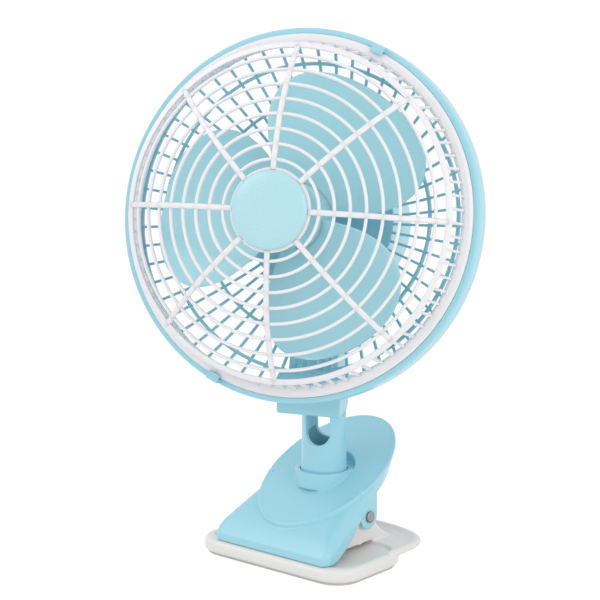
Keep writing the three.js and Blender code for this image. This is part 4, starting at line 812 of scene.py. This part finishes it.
# -------------------------------------------------- motor inside the case
# Laminated stator and rotor, windings of enamelled copper, sintered bronze bushes and a ground
# shaft. None of it shows, but it is there when the case is opened.
laminated = drawn_steel("laminated_silicon_steel", "#7C7E80", "#5F6163", 0.45, 0.5)
copper = drawn_steel("enamelled_copper_wire", "#B56B3A", "#8E4A22", 0.32, 0.4)
bronze = drawn_steel("sintered_bronze", "#A88A4B", "#8D7038", 0.5, 0.3)
dress(laminated, "stator_core", "rotor_core")
dress(copper, "winding_front", "winding_rear")
dress(bronze, "bearing_front", "bearing_rear")
dress(bright_steel, "motor_shaft", "cover_screw_right", "cover_screw_left", "guard_screw_1",
      "guard_screw_2", "guard_screw_3")

# -------------------------------------------------- rear cage
# One aqua moulding: a flat middle plate screwed to the motor, 56 ribs crossed by two rings, and a
# deep rim with two clips that hold the front cage.


def bars(paths, normals, section):
    """Many bars at once: one section of (across, out) points is carried along each of the paths
    [bar, row, xyz], square to it and to its normals."""
    along = np.gradient(paths, axis=1)
    along /= np.linalg.norm(along, axis=2, keepdims=True)
    side = np.cross(along, normals)
    wide = section[None, None, :, :1] * side[:, :, None]
    high = section[None, None, :, 1:] * normals[:, :, None]
    return [skin_of(grid) for grid in paths[:, :, None] + wide + high]


def fan_of(radii, depths, count):
    """Radial lines round the fan's axis, with the unit normals of the surface that the profile
    sweeps."""
    a = 2 * math.pi * np.arange(count)[:, None] / count
    r, y, a = np.broadcast_arrays(radii[None], depths[None], a)
    paths = np.stack([r * np.cos(a), y, r * np.sin(a)], -1)
    dr, dy = np.gradient(radii), np.gradient(depths)
    long = np.hypot(dr, dy)
    out_r, out_y = (-dy / long)[None], (dr / long)[None]
    normals = np.stack([out_r * np.cos(a), out_y + 0 * a, out_r * np.sin(a)], -1)
    return paths, normals


def hoop(radius, surface, behind, section):
    """Ring round the fan's axis: a section that lies along a surface, that far behind it."""
    slope = math.atan2(float(surface(radius + 0.5) - surface(radius - 0.5)), 1)
    depth = float(surface(radius)) + behind
    c, s = math.cos(slope), math.sin(slope)
    wide, high = section.T
    profile = np.stack([radius + wide * c - high * s, depth + wide * s + high * c], 1)
    return spun(profile, 1, turns=240)


def bowl(r):
    """Depth of the rear cage's back face: flat in the middle, then forward to the rim."""
    flat_radius, run, rise, plate_back = 41, 51, 26, 39.7
    share = np.clip((np.asarray(r, float) - flat_radius) / run, 0, None)
    return plate_back - rise * share ** 1.5


rib_middle = -1.2        # of the ribs and rings, from the back face
rear_r = np.linspace(39, 92.6, 28)
rear_ribs = bars(*fan_of(rear_r, bowl(rear_r) + rib_middle, 56), oval(1.45, 2.2, 3.2, 10))
rear_hoops = [hoop(r, bowl, rib_middle, oval(1.7, 2.2, 3.2, 12)) for r in (63.4, 81.8)]
rim = spun(softened([(97.3, 0), (98, 1), (98, 12.6), (97, 13.7), (91.8, 13.7), (91.8, 11.4),
                     (93.2, 11.3), (93.2, 2.1), (95.0, 2.1), (95.0, 0)], 0.3, 4), 1, turns=256)
middle_plate = spun(softened([(8.5, 37.3), (41.2, 37.3), (41.2, 39.7), (8.5, 39.7)], 0.5, 4), 1,
                    turns=128)
clip_view = softened([(95.4, 1.2), (97.6, 1.2), (97.6, -3.9), (93.0, -3.9), (93.0, -2.6),
                      (95.4, -2.4)], 0.5, 4)
rim_clips = []
for a in (math.radians(66), math.radians(246)):
    radial = np.array([math.cos(a), 0, math.sin(a)])
    sideways = np.array([-math.sin(a), 0, math.cos(a)])
    slabs = [clip_view[:, :1] * radial + clip_view[:, 1:] * np.array([0, 1.0, 0]) + half * sideways
             for half in (-3.25, -2.9, 2.9, 3.25)]
    rim_clips.append(skin_of(np.stack(slabs)))
rear = mesh_of("rear", in_head(*rear_ribs, *rear_hoops, rim, middle_plate, *rim_clips))
show("rear_cage", rear, aqua, "head", ["rear_guard"])

# -------------------------------------------------- blade wheel
# Three wide round lobes and a cup-shaped hub in one moulding of clear-tinted styrene-acrylonitrile:
# a glossy aqua that lets a little light through, brightest where an edge turns up.


def lobe(angle, rows=56, columns=64):
    """Twisted sheet with a round edge. Half its width is 57 degrees at the hub and narrows with the
    fourth root of 1 - (r / tip radius)^2; it climbs across by the sine of the angle times the
    tangent of a pitch that eases outwards, is cambered, and its thickness closes to nothing at the
    outline as a half ellipse."""
    root_radius, tip_radius, round_edge = 15, 76, 1.4
    half_width, pitch = math.radians(57), math.radians(19.5)
    pitch_radius, pitch_ease = 42, 0.47
    camber, half_thickness = 2, 0.9
    u = np.linspace(0, 1, rows)[:, None]
    v = np.linspace(-1, 1, columns)[None, :]
    r = root_radius + (tip_radius - root_radius) * np.sin(u * math.pi / 2)
    span = half_width * (1 - np.minimum(r / (tip_radius + 0.02), 1) ** 2) ** 0.25
    swept = np.sin(v * math.pi / 2)
    a = span * swept
    climb = -math.tan(pitch) * (pitch_radius / r) ** pitch_ease * r * np.sin(a)
    lift = climb + camber * (1 - swept ** 2)
    tip = np.clip((r - tip_radius + round_edge) / round_edge, 0, 1)
    thick = half_thickness * np.sqrt(np.clip(1 - swept ** 16, 0, 1)) * np.sqrt(1 - tip ** 2)
    turn = angle + a
    front = np.stack([r * np.cos(turn), lift - thick, r * np.sin(turn)], -1)
    back = np.stack([r * np.cos(turn), lift + thick, r * np.sin(turn)], -1)
    return skin_of(np.concatenate([front, back[:, ::-1]], 1))


hub = spun(softened([(0, -10), (17, -10), (17, 12), (15, 12), (15, -7), (5.5, -8), (5.5, 37),
                     (0, 37)], 1.3, 5), 1, turns=96)
wheel = mesh_of("wheel", in_head(*[lobe(math.radians(58 + 120 * k)) for k in range(3)], hub))
blade_plastic = moulded_plastic("tinted_san_aqua", "#B2DDE6", "#AAD8E2", 0.2, grain=1.4,
                                 relief=0.008, glow_through=0.6)
show("blade_wheel", wheel, blade_plastic, "rotor", ["fan_blade"])

pale_aqua = moulded_plastic("moulded_abs_pale_aqua", "#B4DDE6", "#ADD9E3", 0.28)
nut = spun(softened([(0, -10.3), (8, -10.3), (8, -15.3), (6, -17.6), (0, -18.3)], 1.2, 5), 1,
           turns=64)
show("lock_nut", mesh_of("nut", in_head(nut)), pale_aqua, "rotor", ["blade_lock_nut"])

# -------------------------------------------------- front cage
# White ABS: a domed face of eight spokes and eight rings, a hub disc, an outer ring, eighty short
# side ribs, and a convex flange that snaps into the rim.


def dome(r):
    """Depth of the front cage's face: nearly flat in the middle, falling back ever faster to the
    edge."""
    edge_radius, fall, front = 86.8, 24.5, -41
    return fall * (np.asarray(r, float) / edge_radius) ** 2.8 + front


spoke_r = np.linspace(20.5, 86.4, 44)
spokes = bars(*fan_of(spoke_r, dome(spoke_r) + 0.9, 8), oval(2.9, 2.2, 3.0, 14))
inner_ring, ring_pitch = 25.7, 7.85
hoops = [hoop(inner_ring + ring_pitch * k, dome, 1.1, oval(1.75, 1.9, 2.4, 12)) for k in range(8)]
outer_hoop = spun(softened([(85.1, -17.8), (88.5, -16.4), (87.4, -13.9), (85.1, -14.8)], 0.9, 4), 1,
                  turns=256)
side_r = np.linspace(87.4, 90.0, 8)
side_y = np.linspace(-15.6, -0.6, 8)
side_bars = bars(*fan_of(side_r, side_y, 80), oval(1.5, 1.7, 2.6, 8))
flange = spun(softened([(88.6, 0.2), (89.6, -1.3), (90.8, -1.9), (93.6, -1.7), (94.9, -0.6),
                        (94.9, 1.8), (88.6, 1.8)], 0.3, 4), 1, turns=256)
hub_disc = spun(softened([(0, -40.1), (21.6, -40.1), (21.6, -38.6), (0, -38.6)], 0.5, 4), 1,
                turns=128)
front = mesh_of("front", in_head(*spokes, *hoops, outer_hoop, *side_bars, flange, hub_disc))
show("front_cage", front, white, "head", ["front_guard"])

# -------------------------------------------------- cap on the front cage
# Pale aqua disc pressed into the hub disc of the front cage. It is slightly domed, and its face is
# bare.
cap_radius, cap_edge, cap_rise = 20.2, -41.3, 3.4
t = np.linspace(0, math.pi / 2, 14)
face = np.stack([cap_radius * np.cos(t) ** 0.8, cap_edge - cap_rise * np.sin(t)], 1)
cap = spun(np.concatenate([[(0, -40.6), (19.8, -40.6), (cap_radius, -41.0)], face]), 1, turns=128)
show("cage_cap", mesh_of("cap", in_head(cap)), pale_aqua, "head", ["guard_cap"])
